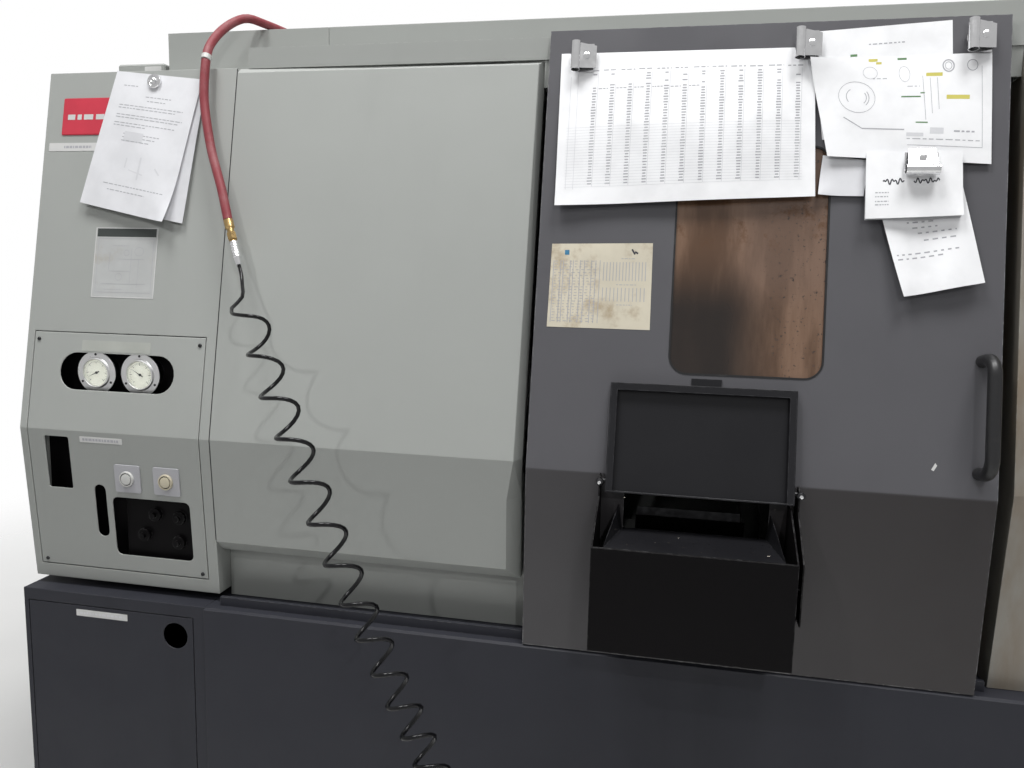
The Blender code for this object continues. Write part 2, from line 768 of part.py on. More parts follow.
# Centre cover, guard, hoods and the covers round the machine


GUARD_Y = KNEE_Y + 0.066
GUARD_DEPTH = 0.030
GUARD_TOP_Z = LEDGE_Z + 0.300


def make_centre_cover():
    """The pan has a narrow bright edge on top, a sloping edge below and a wide one on the right."""
    top_edge = 0.009
    front_zs = (COVER_FOOT_Z, LEDGE_Z + 0.267, KNEE_Z, PANEL_TOP_Z - top_edge)
    right_inset = (0.025, 0.025, 0.013, 0.008)
    front_left = [(COVER_LEFT, front_y(z), z) for z in front_zs]
    front_right = [(COVER_RIGHT - inset, front_y(z), z) for z, inset in zip(front_zs, right_inset)]
    rim_zs = (COVER_FOOT_Z - COVER_EDGE, LEDGE_Z + 0.267, KNEE_Z, PANEL_TOP_Z)
    rim_left = [
        (COVER_LEFT, front_y(COVER_FOOT_Z) + COVER_EDGE, rim_zs[0]),
        (COVER_LEFT, front_y(rim_zs[1]), rim_zs[1]),
        (COVER_LEFT, front_y(rim_zs[2]), rim_zs[2]),
        (COVER_LEFT, front_y(rim_zs[3]) + top_edge, rim_zs[3]),
    ]
    rim_right = [
        (COVER_RIGHT, front_y(COVER_FOOT_Z) + COVER_EDGE, rim_zs[0]),
        (COVER_RIGHT, front_y(rim_zs[1]) + COVER_EDGE, rim_zs[1]),
        (COVER_RIGHT, front_y(rim_zs[2]) + COVER_EDGE, rim_zs[2]),
        (COVER_RIGHT, front_y(rim_zs[3]) + COVER_EDGE, rim_zs[3]),
    ]
    back_left = [(x, front_y(z) + COVER_DEPTH, z) for x, y, z in rim_left]
    back_right = [(x, front_y(z) + COVER_DEPTH, z) for x, y, z in rim_right]
    mesh = pan_mesh(front_left, front_right, rim_left, rim_right, back_left, back_right)
    cover = add("centre_cover", mesh, "light_paint")
    solidify(cover, SHEET)

    tray(
        "lower_guard",
        [
            (COVER_LEFT, GUARD_Y, LEDGE_Z + GAP),
            (DOOR_LEFT + 0.006, GUARD_Y, LEDGE_Z + GAP),
            (DOOR_LEFT + 0.006, GUARD_Y, GUARD_TOP_Z),
            (COVER_LEFT, GUARD_Y, GUARD_TOP_Z),
        ],
        (0, GUARD_DEPTH, 0),
        "light_paint",
    )


def tray(name, outline, vector, finish, thickness=SHEET):
    obj = add(name, tray_mesh(outline, vector), finish)
    solidify(obj, thickness)
    return obj


ROOF_Z = PANEL_TOP_Z - ROOF_THICKNESS
HEADER_LOW_Z = PANEL_TOP_Z - 0.050
HEADER_FRONT_Y = front_y(PANEL_TOP_Z) + 0.010


def make_covers():
    behind_cover = front_y(PANEL_TOP_Z) + COVER_DEPTH + GAP
    rear = KNEE_Y + COLUMN_DEPTH
    # The header closes the top from the column to the right cover, round the centre cover's end
    tray(
        "doorway_header",
        [
            (COVER_LEFT, behind_cover, PANEL_TOP_Z),
            (COVER_RIGHT + GAP, behind_cover, PANEL_TOP_Z),
            (COVER_RIGHT + GAP, HEADER_FRONT_Y, PANEL_TOP_Z),
            (DOORWAY_RIGHT, HEADER_FRONT_Y, PANEL_TOP_Z),
            (DOORWAY_RIGHT, rear, PANEL_TOP_Z),
            (COVER_LEFT, rear, PANEL_TOP_Z),
        ],
        (0, 0, HEADER_LOW_Z - PANEL_TOP_Z),
        "light_paint",
    )
    rear_y = BACK_Y - BACK_RIM - GAP
    roof_front = KNEE_Y + COLUMN_DEPTH + GAP
    side_z = LEDGE_Z + GAP
    tray(
        "roof_cover",
        [
            (COLUMN_LEFT, roof_front, PANEL_TOP_Z),
            (RIGHT, roof_front, PANEL_TOP_Z),
            (RIGHT, rear_y, PANEL_TOP_Z),
            (COLUMN_LEFT, rear_y, PANEL_TOP_Z),
        ],
        (0, 0, -ROOF_THICKNESS),
        "light_paint",
    )
    left_end = tray(
        "left_end_cover",
        [
            (COLUMN_LEFT, roof_front, side_z),
            (COLUMN_LEFT, roof_front, ROOF_Z - GAP),
            (COLUMN_LEFT, rear_y, ROOF_Z - GAP),
            (COLUMN_LEFT, rear_y, side_z),
        ],
        (0.030, 0, 0),
        "light_paint",
    )
    bar_hole = disc_mesh(0.055, 24, (COLUMN_LEFT - 0.05, SPINDLE_Y, SPINDLE_Z), (1, 0, 0), 0.10)
    boolean(left_end, add("cut_bar_hole", bar_hole, "light_paint"))
    tray(
        "back_cover",
        [
            (COLUMN_LEFT, BACK_Y, side_z),
            (RIGHT, BACK_Y, side_z),
            (RIGHT, BACK_Y, PANEL_TOP_Z),
            (COLUMN_LEFT, BACK_Y, PANEL_TOP_Z),
        ],
        (0, -BACK_RIM, 0),
        "light_paint",
    )


def make_hoods():
    top = HOOD_TOP_Z
    low = PANEL_TOP_Z + GAP
    spans = (
        ("upper_cover_left", HOOD_LEFT, HOOD_SEAM),
        ("upper_cover_right", HOOD_SEAM + GAP, HOOD_RIGHT),
    )
    for name, x0, x1 in spans:
        tray(
            name,
            [
                (x0, HOOD_FRONT_Y, top),
                (x1, HOOD_FRONT_Y, top),
                (x1, HOOD_FRONT_Y + HOOD_DEPTH, top),
                (x0, HOOD_FRONT_Y + HOOD_DEPTH, top),
            ],
            (0, 0, low - top),
            "light_paint",
        )


# Door, window pane, handle, rail and guide


def door_profile():
    return [(door_y(z), z) for z in (DOOR_FOOT_Z, DOOR_KNEE_Z, DOOR_TOP_Z)]


RAIL_FRONT_Y = door_y(DOOR_TOP_Z) + DOOR_DEPTH + 0.004
RAIL_REAR_Y = RAIL_FRONT_Y + RAIL_THICKNESS
RAIL_TOP_Z = DOOR_TOP_Z - SHEET - GAP
CATCHER_SLOT_LOW_Z = LEDGE_Z + 0.242
CATCHER_SLOT_HIGH_Z = LEDGE_Z + 0.312


def make_door():
    front = door_profile()
    back = [(y + DOOR_DEPTH, z) for y, z in front]
    origin = (DOOR_LEFT, door_y(DOOR_KNEE_Z), DOOR_KNEE_Z)
    door = add("front_door", flat_pan(front, DOOR_LEFT, DOOR_RIGHT, back), "dark_paint", origin)
    solidify(door, SHEET)
    # The top flange runs back over the rail and turns down behind it
    top = DOOR_TOP_Z
    hook = along_x(
        [
            (door_y(top) + DOOR_DEPTH / 2, top),
            (door_y(top) + DOOR_DEPTH / 2, top - SHEET),
            (RAIL_REAR_Y + GAP, top - SHEET),
            (RAIL_REAR_Y + GAP, PANEL_TOP_Z + 0.012),
            (RAIL_REAR_Y + GAP + SHEET, PANEL_TOP_Z + 0.012),
            (RAIL_REAR_Y + GAP + SHEET, top),
        ],
        DOOR_LEFT,
        DOOR_RIGHT,
    )
    union(door, add("join_door_hook", hook, "dark_paint"))
    window = through_front(
        rounded_rectangle(WINDOW_LEFT, WINDOW_RIGHT, WINDOW_LOW_Z, WINDOW_HIGH_Z, WINDOW_CORNER, 5),
        KNEE_Y - 0.2,
        KNEE_Y + 0.3,
    )
    boolean(door, add("cut_window", window, "dark_paint"))
    slot = box_mesh(
        (CATCHER_LEFT + 0.042, KNEE_Y - 0.1, CATCHER_SLOT_LOW_Z),
        (CATCHER_RIGHT - 0.031, KNEE_Y + 0.1, CATCHER_SLOT_HIGH_Z),
    )
    boolean(door, add("cut_catcher_slot", slot, "dark_paint"))

    low, high = WINDOW_LOW_Z - PANE_LAP, WINDOW_HIGH_Z + PANE_LAP
    setback = SHEET * math.hypot(1, UPPER_SLOPE) + GAP
    pane = prism_mesh(
        [
            (WINDOW_LEFT - PANE_LAP, door_y(low) + setback, low),
            (WINDOW_RIGHT + PANE_LAP, door_y(low) + setback, low),
            (WINDOW_RIGHT + PANE_LAP, door_y(high) + setback, high),
            (WINDOW_LEFT - PANE_LAP, door_y(high) + setback, high),
        ],
        (0, PANE_THICKNESS, 0),
    )
    add("door_window", pane, "glass")


def make_handle():
    """A bar bent out from the door at both ends."""
    lean = math.atan(UPPER_SLOPE)
    up = Vector((0, math.sin(lean), math.cos(lean)))
    out = Vector((0, -math.cos(lean), math.sin(lean)))
    feet = [Vector((HANDLE_X, door_y(z), z)) + out * GAP for z in (HANDLE_LOW_Z, HANDLE_HIGH_Z)]
    straight = HANDLE_REACH - HANDLE_BEND
    steps = 6
    route = [feet[0]]
    for i in range(steps + 1):
        angle = math.radians(90 * i / steps)
        rise = HANDLE_BEND * (1 - math.cos(angle))
        route.append(feet[0] + out * (straight + HANDLE_BEND * math.sin(angle)) + up * rise)
    for i in range(steps, -1, -1):
        angle = math.radians(90 * i / steps)
        rise = HANDLE_BEND * (1 - math.cos(angle))
        route.append(feet[1] + out * (straight + HANDLE_BEND * math.sin(angle)) - up * rise)
    route.append(feet[1])
    tube("door_handle", route, HANDLE_RADIUS, "black_plastic", resolution=3)


def make_rail():
    rail = box_mesh(
        (RAIL_LEFT, RAIL_FRONT_Y, PANEL_TOP_Z + GAP), (RAIL_RIGHT, RAIL_REAR_Y, RAIL_TOP_Z)
    )
    add("door_rail", rail, "steel")
    guide_y = door_y(DOOR_FOOT_Z) + DOOR_DEPTH + GAP
    guide = box_mesh(
        (COVER_LEFT + 0.010, guide_y, LEDGE_Z + GAP),
        (DOORWAY_RIGHT - 0.010, guide_y + GUIDE_THICKNESS, LEDGE_Z + GUIDE_HEIGHT),
    )
    add("door_guide", guide, "steel")


# Parts-catcher box with its chute and lid


LID_PIVOT_Y = door_y(LID_PIVOT_Z) - LID_PIVOT_OUT
LID_LEFT = CATCHER_LEFT + 0.0105
LID_RIGHT = CATCHER_RIGHT + 0.0035


def lid_open_lean():
    """The lean at which the lid's top rear edge meets the door above it."""
    lean = math.atan(UPPER_SLOPE)
    upper_plane_y = KNEE_Y - DOOR_PROUD + UPPER_SLOPE * (LID_PIVOT_Z - DOOR_KNEE_Z)
    reach = (upper_plane_y - LID_PIVOT_Y) * math.cos(lean) - GAP
    along, back = LID_HEIGHT + LID_TAB, LID_PIVOT_SETBACK
    return lean + math.asin(reach / math.hypot(along, back)) - math.atan2(back, along)


def make_catcher():
    rear_low = door_y(CATCHER_LOW_Z) - GAP
    rear_rim = door_y(CATCHER_REAR_RIM_Z) - GAP
    side = [
        (CATCHER_FRONT_Y, CATCHER_LOW_Z),
        (rear_low, CATCHER_LOW_Z),
        (rear_rim, CATCHER_REAR_RIM_Z),
        (LID_PIVOT_Y - EAR_RADIUS, CATCHER_REAR_RIM_Z),
        (CATCHER_FRONT_Y, CATCHER_RIM_Z),
    ]
    body = add("catcher_box", along_x(side, CATCHER_LEFT, CATCHER_RIGHT), "black_paint")
    hollow = along_x(
        [
            (CATCHER_FRONT_Y + SHEET, CATCHER_LOW_Z + SHEET),
            (rear_low + 0.02, CATCHER_LOW_Z + SHEET),
            (rear_low + 0.02, CATCHER_REAR_RIM_Z + 0.1),
            (CATCHER_FRONT_Y + SHEET, CATCHER_REAR_RIM_Z + 0.1),
        ],
        CATCHER_LEFT + SHEET,
        CATCHER_RIGHT - SHEET,
    )
    boolean(body, add("cut_catcher_hollow", hollow, "black_paint"))
    # An ear stands up from each side to hold a pivot screw; the right one is on a plate outside the box
    for side_name, x0, x1, low in (
        ("left", CATCHER_LEFT, CATCHER_LEFT + SHEET, CATCHER_REAR_RIM_Z - 0.03),
        ("right", EAR_RIGHT - SHEET, EAR_RIGHT, LEDGE_Z + 0.145),
    ):
        rear = door_y(LID_PIVOT_Z - EAR_RADIUS) - GAP
        outline = [(rear, low)] if side_name == "left" else [(door_y(low) - GAP, low)]
        outline.append((rear, LID_PIVOT_Z - EAR_RADIUS))
        for i in range(7):
            angle = math.radians(180 * i / 6)
            outline.append(
                (
                    LID_PIVOT_Y + EAR_RADIUS * math.cos(angle),
                    LID_PIVOT_Z + EAR_RADIUS * math.sin(angle),
                )
            )
        outline.append((LID_PIVOT_Y - EAR_RADIUS, LID_PIVOT_Z - 2 * EAR_RADIUS))
        if side_name == "right":
            outline.append((CATCHER_FRONT_Y + 0.020, CATCHER_RIM_Z - 0.004))
            outline.append((CATCHER_FRONT_Y + 0.020, low))
        else:
            outline.append((LID_PIVOT_Y - EAR_RADIUS, low))
        union(body, add(f"join_ear_{side_name}", along_x(outline, x0, x1), "black_paint"))
    # Two ribs tie the outer plate to the box's right wall, below the lid
    for number, z in enumerate((LEDGE_Z + 0.150, LEDGE_Z + 0.200)):
        rib = box_mesh(
            (CATCHER_RIGHT - SHEET / 2, CATCHER_FRONT_Y + 0.030, z),
            (EAR_RIGHT - SHEET / 2, CATCHER_FRONT_Y + 0.110, z + SHEET),
        )
        union(body, add(f"join_rib_{number}", rib, "black_paint"))


def make_chute():
    """A folded sheet whose floor slopes gently back, with a side standing up at each end."""
    x0, x1 = CATCHER_LEFT + CHUTE_MARGIN, CATCHER_RIGHT - CHUTE_MARGIN
    inset = 0.022
    front = CATCHER_FRONT_Y + SHEET + GAP + CHUTE_SHEET
    floor_front, floor_rear = CATCHER_RIM_Z - 0.002, CATCHER_SLOT_LOW_Z + 0.001
    rear = door_y(floor_rear + CHUTE_SIDE) - GAP - CHUTE_SHEET
    bm = bmesh.new()
    a = bm.verts.new((x0, front, floor_front))
    b = bm.verts.new((x1, front, floor_front))
    c = bm.verts.new((x1 - inset + 0.006, rear, floor_rear))
    d = bm.verts.new((x0 + inset, rear, floor_rear))
    e = bm.verts.new((x0 + inset - 0.006, rear, floor_rear + CHUTE_SIDE))
    f = bm.verts.new((x1 - inset + 0.012, rear, floor_rear + CHUTE_SIDE))
    g = bm.verts.new((x0, front, floor_front - 0.030))
    h = bm.verts.new((x1, front, floor_front - 0.030))
    bm.faces.new((a, b, c, d))
    bm.faces.new((a, d, e))
    bm.faces.new((b, f, c))
    bm.faces.new((g, h, b, a))
    chute = add("catcher_chute", bm, "black_paint")
    solidify(chute, CHUTE_SHEET)
    chute.modifiers["sheet"].offset = 0


def make_lid():
    lean = lid_open_lean()
    pivot = Vector((LID_LEFT, LID_PIVOT_Y, LID_PIVOT_Z))
    along = Vector((0, math.sin(lean), math.cos(lean)))
    out = Vector((0, -math.cos(lean), math.sin(lean)))
    wide = Vector((LID_RIGHT - LID_LEFT, 0, 0))
    back = pivot - out * LID_PIVOT_SETBACK
    low, high = back - along * LID_BELOW, back + along * LID_HEIGHT
    outline = [low, low + wide, high + wide, high]
    lid = add("catcher_lid", tray_mesh(outline, out * LID_RIM), "black_paint", pivot)
    solidify(lid, SHEET)
    tab_left = pivot + Vector((0.136, 0, 0))
    tab = prism_mesh(
        [
            tab_left - out * LID_PIVOT_SETBACK + along * (LID_HEIGHT - 0.004),
            tab_left - out * LID_PIVOT_SETBACK + along * (LID_HEIGHT + LID_TAB),
            tab_left - out * (LID_PIVOT_SETBACK - SHEET) + along * (LID_HEIGHT + LID_TAB),
            tab_left - out * (LID_PIVOT_SETBACK - SHEET) + along * (LID_HEIGHT - 0.004),
        ],
        (LID_TAB_WIDTH, 0, 0),
    )
    union(lid, add("join_lid_tab", tab, "black_paint"))
    left_reach = LID_LEFT - CATCHER_LEFT + 0.004
    right_reach = EAR_RIGHT - LID_RIGHT + 0.004
    pins = ((LID_LEFT + 0.001, -1, left_reach), (LID_RIGHT - 0.001, 1, right_reach))
    for number, (x, sign, reach) in enumerate(pins):
        pin = disc_mesh(PIN_RADIUS, 12, (x, LID_PIVOT_Y, LID_PIVOT_Z), (sign, 0, 0), reach)
        union(lid, add(f"join_pivot_{number}", pin, "black_paint"))
        start = (x + sign * 0.004, LID_PIVOT_Y, LID_PIVOT_Z)
        hole = disc_mesh(running_radius(PIN_RADIUS, 12), 12, start, (sign, 0, 0), reach + 0.01)
        boolean(bpy.data.objects["catcher_box"], add(f"cut_pivot_{number}", hole, "black_paint"))


# Slant bed, headstock, spindle, chuck and jaws


def way_notches(gap):
    """The outline of the ways' tops, widened by a gap, from low to high along the slant."""
    steps = []
    for way in (LOWER_WAY, UPPER_WAY):
        steps += [
            (way - gap, -WAY_OFFSET + gap),
            (way - gap, -WAY_OFFSET + WAY_HEIGHT + gap),
            (way + WAY_WIDTH + gap, -WAY_OFFSET + WAY_HEIGHT + gap),
            (way + WAY_WIDTH + gap, -WAY_OFFSET + gap),
        ]
    return steps


def make_bed():
    outline = [slant_point(BED_LOW, -WAY_OFFSET)]
    outline += [slant_point(s, n) for s, n in way_notches(0.0)]
    high = slant_point(BED_HIGH, -WAY_OFFSET)
    outline += [high, (BED_REAR_Y, high[1])]
    outline += [(BED_REAR_Y, LEDGE_Z + GAP), (outline[0][0], LEDGE_Z + GAP)]
    add("slant_bed", along_x(outline, BED_LEFT, BED_RIGHT), "castings")


def make_headstock():
    outline = [slant_point(BED_LOW + 0.02, -WAY_OFFSET + GAP)]
    outline += [slant_point(s, n) for s, n in way_notches(GAP)]
    outline += [
        slant_point(BED_HIGH - 0.01, -WAY_OFFSET + GAP),
        slant_point(BED_HIGH - 0.06, -0.100),
        slant_point(0.170, 0.060),
        slant_point(0.110, 0.120),
        slant_point(-0.110, 0.120),
        slant_point(-0.150, 0.080),
        slant_point(-0.200, -0.150),
    ]
    headstock = add("headstock", along_x(outline, HEADSTOCK_LEFT, HEADSTOCK_RIGHT), "castings")
    bore = disc_mesh(
        running_radius(SPINDLE_RADIUS, 40),
        40,
        (HEADSTOCK_LEFT - 0.05, SPINDLE_Y, SPINDLE_Z),
        (1, 0, 0),
        HEADSTOCK_RIGHT - HEADSTOCK_LEFT + 0.1,
    )
    boolean(headstock, add("cut_headstock_bore", bore, "castings"))


def make_spindle():
    """The spindle with its rear clamping cylinder, bored through for bar."""
    nose = SPINDLE_NOSE - SPINDLE_LEFT
    shoulder = HEADSTOCK_LEFT - SPINDLE_LEFT
    front = HEADSTOCK_RIGHT - SPINDLE_LEFT
    profile = [
        (SPINDLE_BORE, 0),
        (0.048, 0),
        (0.048, 0.150),
        (0.095, 0.160),
        (0.095, shoulder - 0.150),
        (0.060, shoulder - 0.140),
        (0.060, shoulder - 0.030),
        (0.085, shoulder - 0.030),
        (0.085, shoulder - GAP),
        (SPINDLE_RADIUS, shoulder - GAP),
        (SPINDLE_RADIUS, front + GAP),
        (0.088, front + GAP),
        (0.088, nose),
        (SPINDLE_BORE, nose),
    ]
    base = (SPINDLE_LEFT, SPINDLE_Y, SPINDLE_Z)
    mesh = turned_mesh(profile, 32, base, (1, 0, 0), closed_ring=True)
    add("spindle", mesh, "steel", base, smooth=True)


def jaw_directions():
    for number in range(JAW_COUNT):
        angle = math.radians(90) + 2 * math.pi * number / JAW_COUNT
        yield number + 1, Vector((0, math.cos(angle), math.sin(angle)))


def radial_block(direction, r0, r1, width, x0, x1):
    """A block that lies along a radius of the spindle."""
    side = Vector((1, 0, 0)).cross(direction).normalized() * (width / 2)
    centre = Vector((0, SPINDLE_Y, SPINDLE_Z))
    corners = []
    for radius, sign in ((r0, -1), (r0, 1), (r1, 1), (r1, -1)):
        point = centre + direction * radius + side * sign
        corners.append((x0, point.y, point.z))
    return prism_mesh(corners, (x1 - x0, 0, 0))


CHUCK_FACE_X = SPINDLE_NOSE + GAP + CHUCK_LENGTH


def make_chuck():
    x0 = SPINDLE_NOSE + GAP
    profile = [
        (CHUCK_BORE, 0),
        (CHUCK_RADIUS - 0.012, 0),
        (CHUCK_RADIUS, 0.012),
        (CHUCK_RADIUS, CHUCK_LENGTH - 0.006),
        (CHUCK_RADIUS - 0.006, CHUCK_LENGTH),
        (CHUCK_BORE + 0.004, CHUCK_LENGTH),
        (CHUCK_BORE, CHUCK_LENGTH - 0.004),
    ]
    base = (x0, SPINDLE_Y, SPINDLE_Z)
    mesh = turned_mesh(profile, 36, base, (1, 0, 0), closed_ring=True)
    chuck = add("chuck_body", mesh, "steel", base, smooth=True)
    for number, direction in jaw_directions():
        slot = radial_block(
            direction,
            CHUCK_BORE + 0.004,
            CHUCK_RADIUS + 0.02,
            JAW_WIDTH + 2 * GAP,
            CHUCK_FACE_X - JAW_SLOT_DEPTH - GAP,
            CHUCK_FACE_X + 0.02,
        )
        boolean(chuck, add(f"cut_jaw_slot_{number}", slot, "steel"))


def make_jaws():
    """Each jaw is a key in the slot with a stepped top jaw on it."""
    for number, direction in jaw_directions():
        centre = Vector((CHUCK_FACE_X, SPINDLE_Y, SPINDLE_Z)) + direction * 0.070
        key = radial_block(
            direction,
            JAW_INNER + 0.004,
            CHUCK_RADIUS - 0.003,
            JAW_WIDTH,
            CHUCK_FACE_X - JAW_SLOT_DEPTH,
            CHUCK_FACE_X + 0.012,
        )
        jaw = add(f"chuck_jaw_{number}", key, "steel", centre)
        for step, (r0, r1, height) in enumerate(
            ((JAW_INNER, 0.062, 0.042), (0.061, 0.082, 0.030), (0.081, 0.101, 0.018))
        ):
            block = radial_block(
                direction, r0, r1, JAW_WIDTH + 0.002, CHUCK_FACE_X + 0.0005, CHUCK_FACE_X + height
            )
            union(jaw, add(f"join_jaw_{number}_{step}", block, "steel"))


# Wall round the spindle nose, and the chip tray


WALL_X = HEADSTOCK_RIGHT + GAP
WALL_SHEET = 0.003


def make_wall():
    """It meets the guard, the centre cover, the header and the roof, and stands on the bed."""
    behind_guard = GUARD_Y + GUARD_DEPTH + GAP
    step_z = GUARD_TOP_Z + GAP
    header_low = HEADER_LOW_Z - GAP
    top_z = ROOF_Z - GAP
    behind_header = KNEE_Y + COLUMN_DEPTH + GAP
    rear = BED_REAR_Y - 0.030
    bed_front = slant_point(BED_LOW, -WAY_OFFSET)[0] - GAP
    outline = [
        (behind_guard, LEDGE_Z + GAP),
        (behind_guard, step_z),
        (front_y(step_z) + COVER_DEPTH + GAP, step_z),
        (front_y(KNEE_Z) + COVER_DEPTH + GAP, KNEE_Z),
        (front_y(header_low) + COVER_DEPTH + GAP, header_low),
        (behind_header, header_low),
        (behind_header, top_z),
        (rear, top_z),
        (rear, slant_point(BED_HIGH, -WAY_OFFSET)[1] + GAP),
        slant_point(BED_HIGH, -WAY_OFFSET + GAP),
    ]
    outline += [slant_point(s, n) for s, n in reversed(way_notches(GAP))]
    outline += [
        (bed_front, slant_point(BED_LOW, -WAY_OFFSET)[1] + GAP),
        (bed_front, LEDGE_Z + GAP),
    ]
    wall = add("headstock_wall", along_x(outline, WALL_X, WALL_X + WALL_SHEET), "light_paint")
    hole = disc_mesh(
        running_radius(0.090, 32), 32, (WALL_X - 0.05, SPINDLE_Y, SPINDLE_Z), (1, 0, 0), 0.10
    )
    boolean(wall, add("cut_wall_hole", hole, "light_paint"))


def make_chip_tray():
    """A folded trough in the base, under the spindle, with its lips on the ledge."""
    x0, x1 = DOOR_LEFT + 0.034, DOOR_RIGHT - 0.014
    top = LEDGE_Z + GAP + TRAY_SHEET / 2
    near, far = KNEE_Y + TROUGH_NEAR + 0.002, KNEE_Y + TROUGH_FAR - 0.002
    outline = [
        (near - 0.010, top),
        (near, top),
        (near, LEDGE_Z - TROUGH_NEAR_DEPTH + 0.004),
        (KNEE_Y + TROUGH_KNEE, LEDGE_Z - TROUGH_DEPTH + 0.006),
        (far, LEDGE_Z - TROUGH_DEPTH + 0.006),
        (far, top),
        (far + 0.010, top),
    ]
    bm = bmesh.new()
    left = [bm.verts.new((x0, y, z)) for y, z in outline]
    right = [bm.verts.new((x1, y, z)) for y, z in outline]
    for i in range(len(outline) - 1):
        bm.faces.new((left[i], left[i + 1], right[i + 1], right[i]))
    bm.faces.new(left[1:6])
    bm.faces.new(list(reversed(right[1:6])))
    tray_obj = add("chip_tray", bm, "light_paint")
    solidify(tray_obj, TRAY_SHEET)
    tray_obj.modifiers["sheet"].offset = 0


# Carriage, cross slide and turret


CROSS_RIBS = (0.035, 0.195)
CROSS_RIB_WIDTH = 0.040
CROSS_RIB_HEIGHT = 0.018


def slant_block(s0, s1, n0, n1, x0, x1):
    corners = ((s0, n0), (s1, n0), (s1, n1), (s0, n1))
    return along_x([slant_point(s, n) for s, n in corners], x0, x1)


def make_carriage():
    outline = [slant_point(BED_LOW + 0.005, -WAY_OFFSET + GAP)]
    outline += [slant_point(s, n) for s, n in way_notches(GAP)]
    outline += [
        slant_point(BED_HIGH - 0.005, -WAY_OFFSET + GAP),
        slant_point(BED_HIGH - 0.005, CARRIAGE_TOP),
        slant_point(BED_LOW + 0.045, CARRIAGE_TOP),
        slant_point(BED_LOW + 0.005, CARRIAGE_TOP - 0.030),
    ]
    centre = slant_point(0, CARRIAGE_TOP)
    origin = (CARRIAGE_LEFT, centre[0], centre[1])
    carriage = add("carriage", along_x(outline, CARRIAGE_LEFT, CARRIAGE_RIGHT), "castings", origin)
    for number, offset in enumerate(CROSS_RIBS):
        x0 = CARRIAGE_LEFT + offset
        rib = slant_block(
            BED_LOW + 0.050,
            BED_HIGH - 0.010,
            CARRIAGE_TOP - 0.010,
            CARRIAGE_TOP + CROSS_RIB_HEIGHT,
            x0,
            x0 + CROSS_RIB_WIDTH,
        )
        union(carriage, add(f"join_cross_way_{number}", rib, "castings"))


def make_cross_slide():
    """The plate that rides on the carriage's two ribs, with the turret's housing on it."""
    s0, s1 = TURRET_S - 0.190, TURRET_S + 0.135
    x0, x1 = CARRIAGE_LEFT + 0.006, CARRIAGE_RIGHT - 0.006
    centre = slant_point(TURRET_S, 0)
    origin = (x0, centre[0], centre[1])
    plate = slant_block(s0, s1, CARRIAGE_TOP + GAP, CROSS_TOP, x0, x1)
    slide = add("cross_slide", plate, "castings", origin)
    for number, offset in enumerate(CROSS_RIBS):
        groove = slant_block(
            s0 - 0.01,
            s1 + 0.01,
            CARRIAGE_TOP - 0.010,
            CARRIAGE_TOP + CROSS_RIB_HEIGHT + GAP,
            CARRIAGE_LEFT + offset - GAP,
            CARRIAGE_LEFT + offset + CROSS_RIB_WIDTH + GAP,
        )
        boolean(slide, add(f"cut_cross_groove_{number}", groove, "castings"))
    half = 0.115
    corner = 0.035
    outline = [
        (TURRET_S - half, CROSS_TOP - 0.010),
        (TURRET_S + half, CROSS_TOP - 0.010),
        (TURRET_S + half, half - corner),
        (TURRET_S + half - corner, half),
        (TURRET_S - half + corner, half),
        (TURRET_S - half, half - corner),
    ]
    housing = along_x([slant_point(s, n) for s, n in outline], x0, x1)
    union(slide, add("join_turret_housing", housing, "castings"))


def station_direction(number):
    angle = math.radians(-45 + 30) + 2 * math.pi * number / TURRET_STATIONS
    return Vector((0, -math.cos(angle), math.sin(angle)))


def turret_block(number, r0, r1, width, x0, x1, shift=0.0):
    direction = station_direction(number)
    side = Vector((1, 0, 0)).cross(direction).normalized()
    y, z = slant_point(TURRET_S, 0)
    centre = Vector((0, y, z)) + side * shift
    corners = []
    for radius, sign in ((r0, -1), (r0, 1), (r1, 1), (r1, -1)):
        point = centre + direction * radius + side * (sign * width / 2)
        corners.append((x0, point.y, point.z))
    return prism_mesh(corners, (x1 - x0, 0, 0))


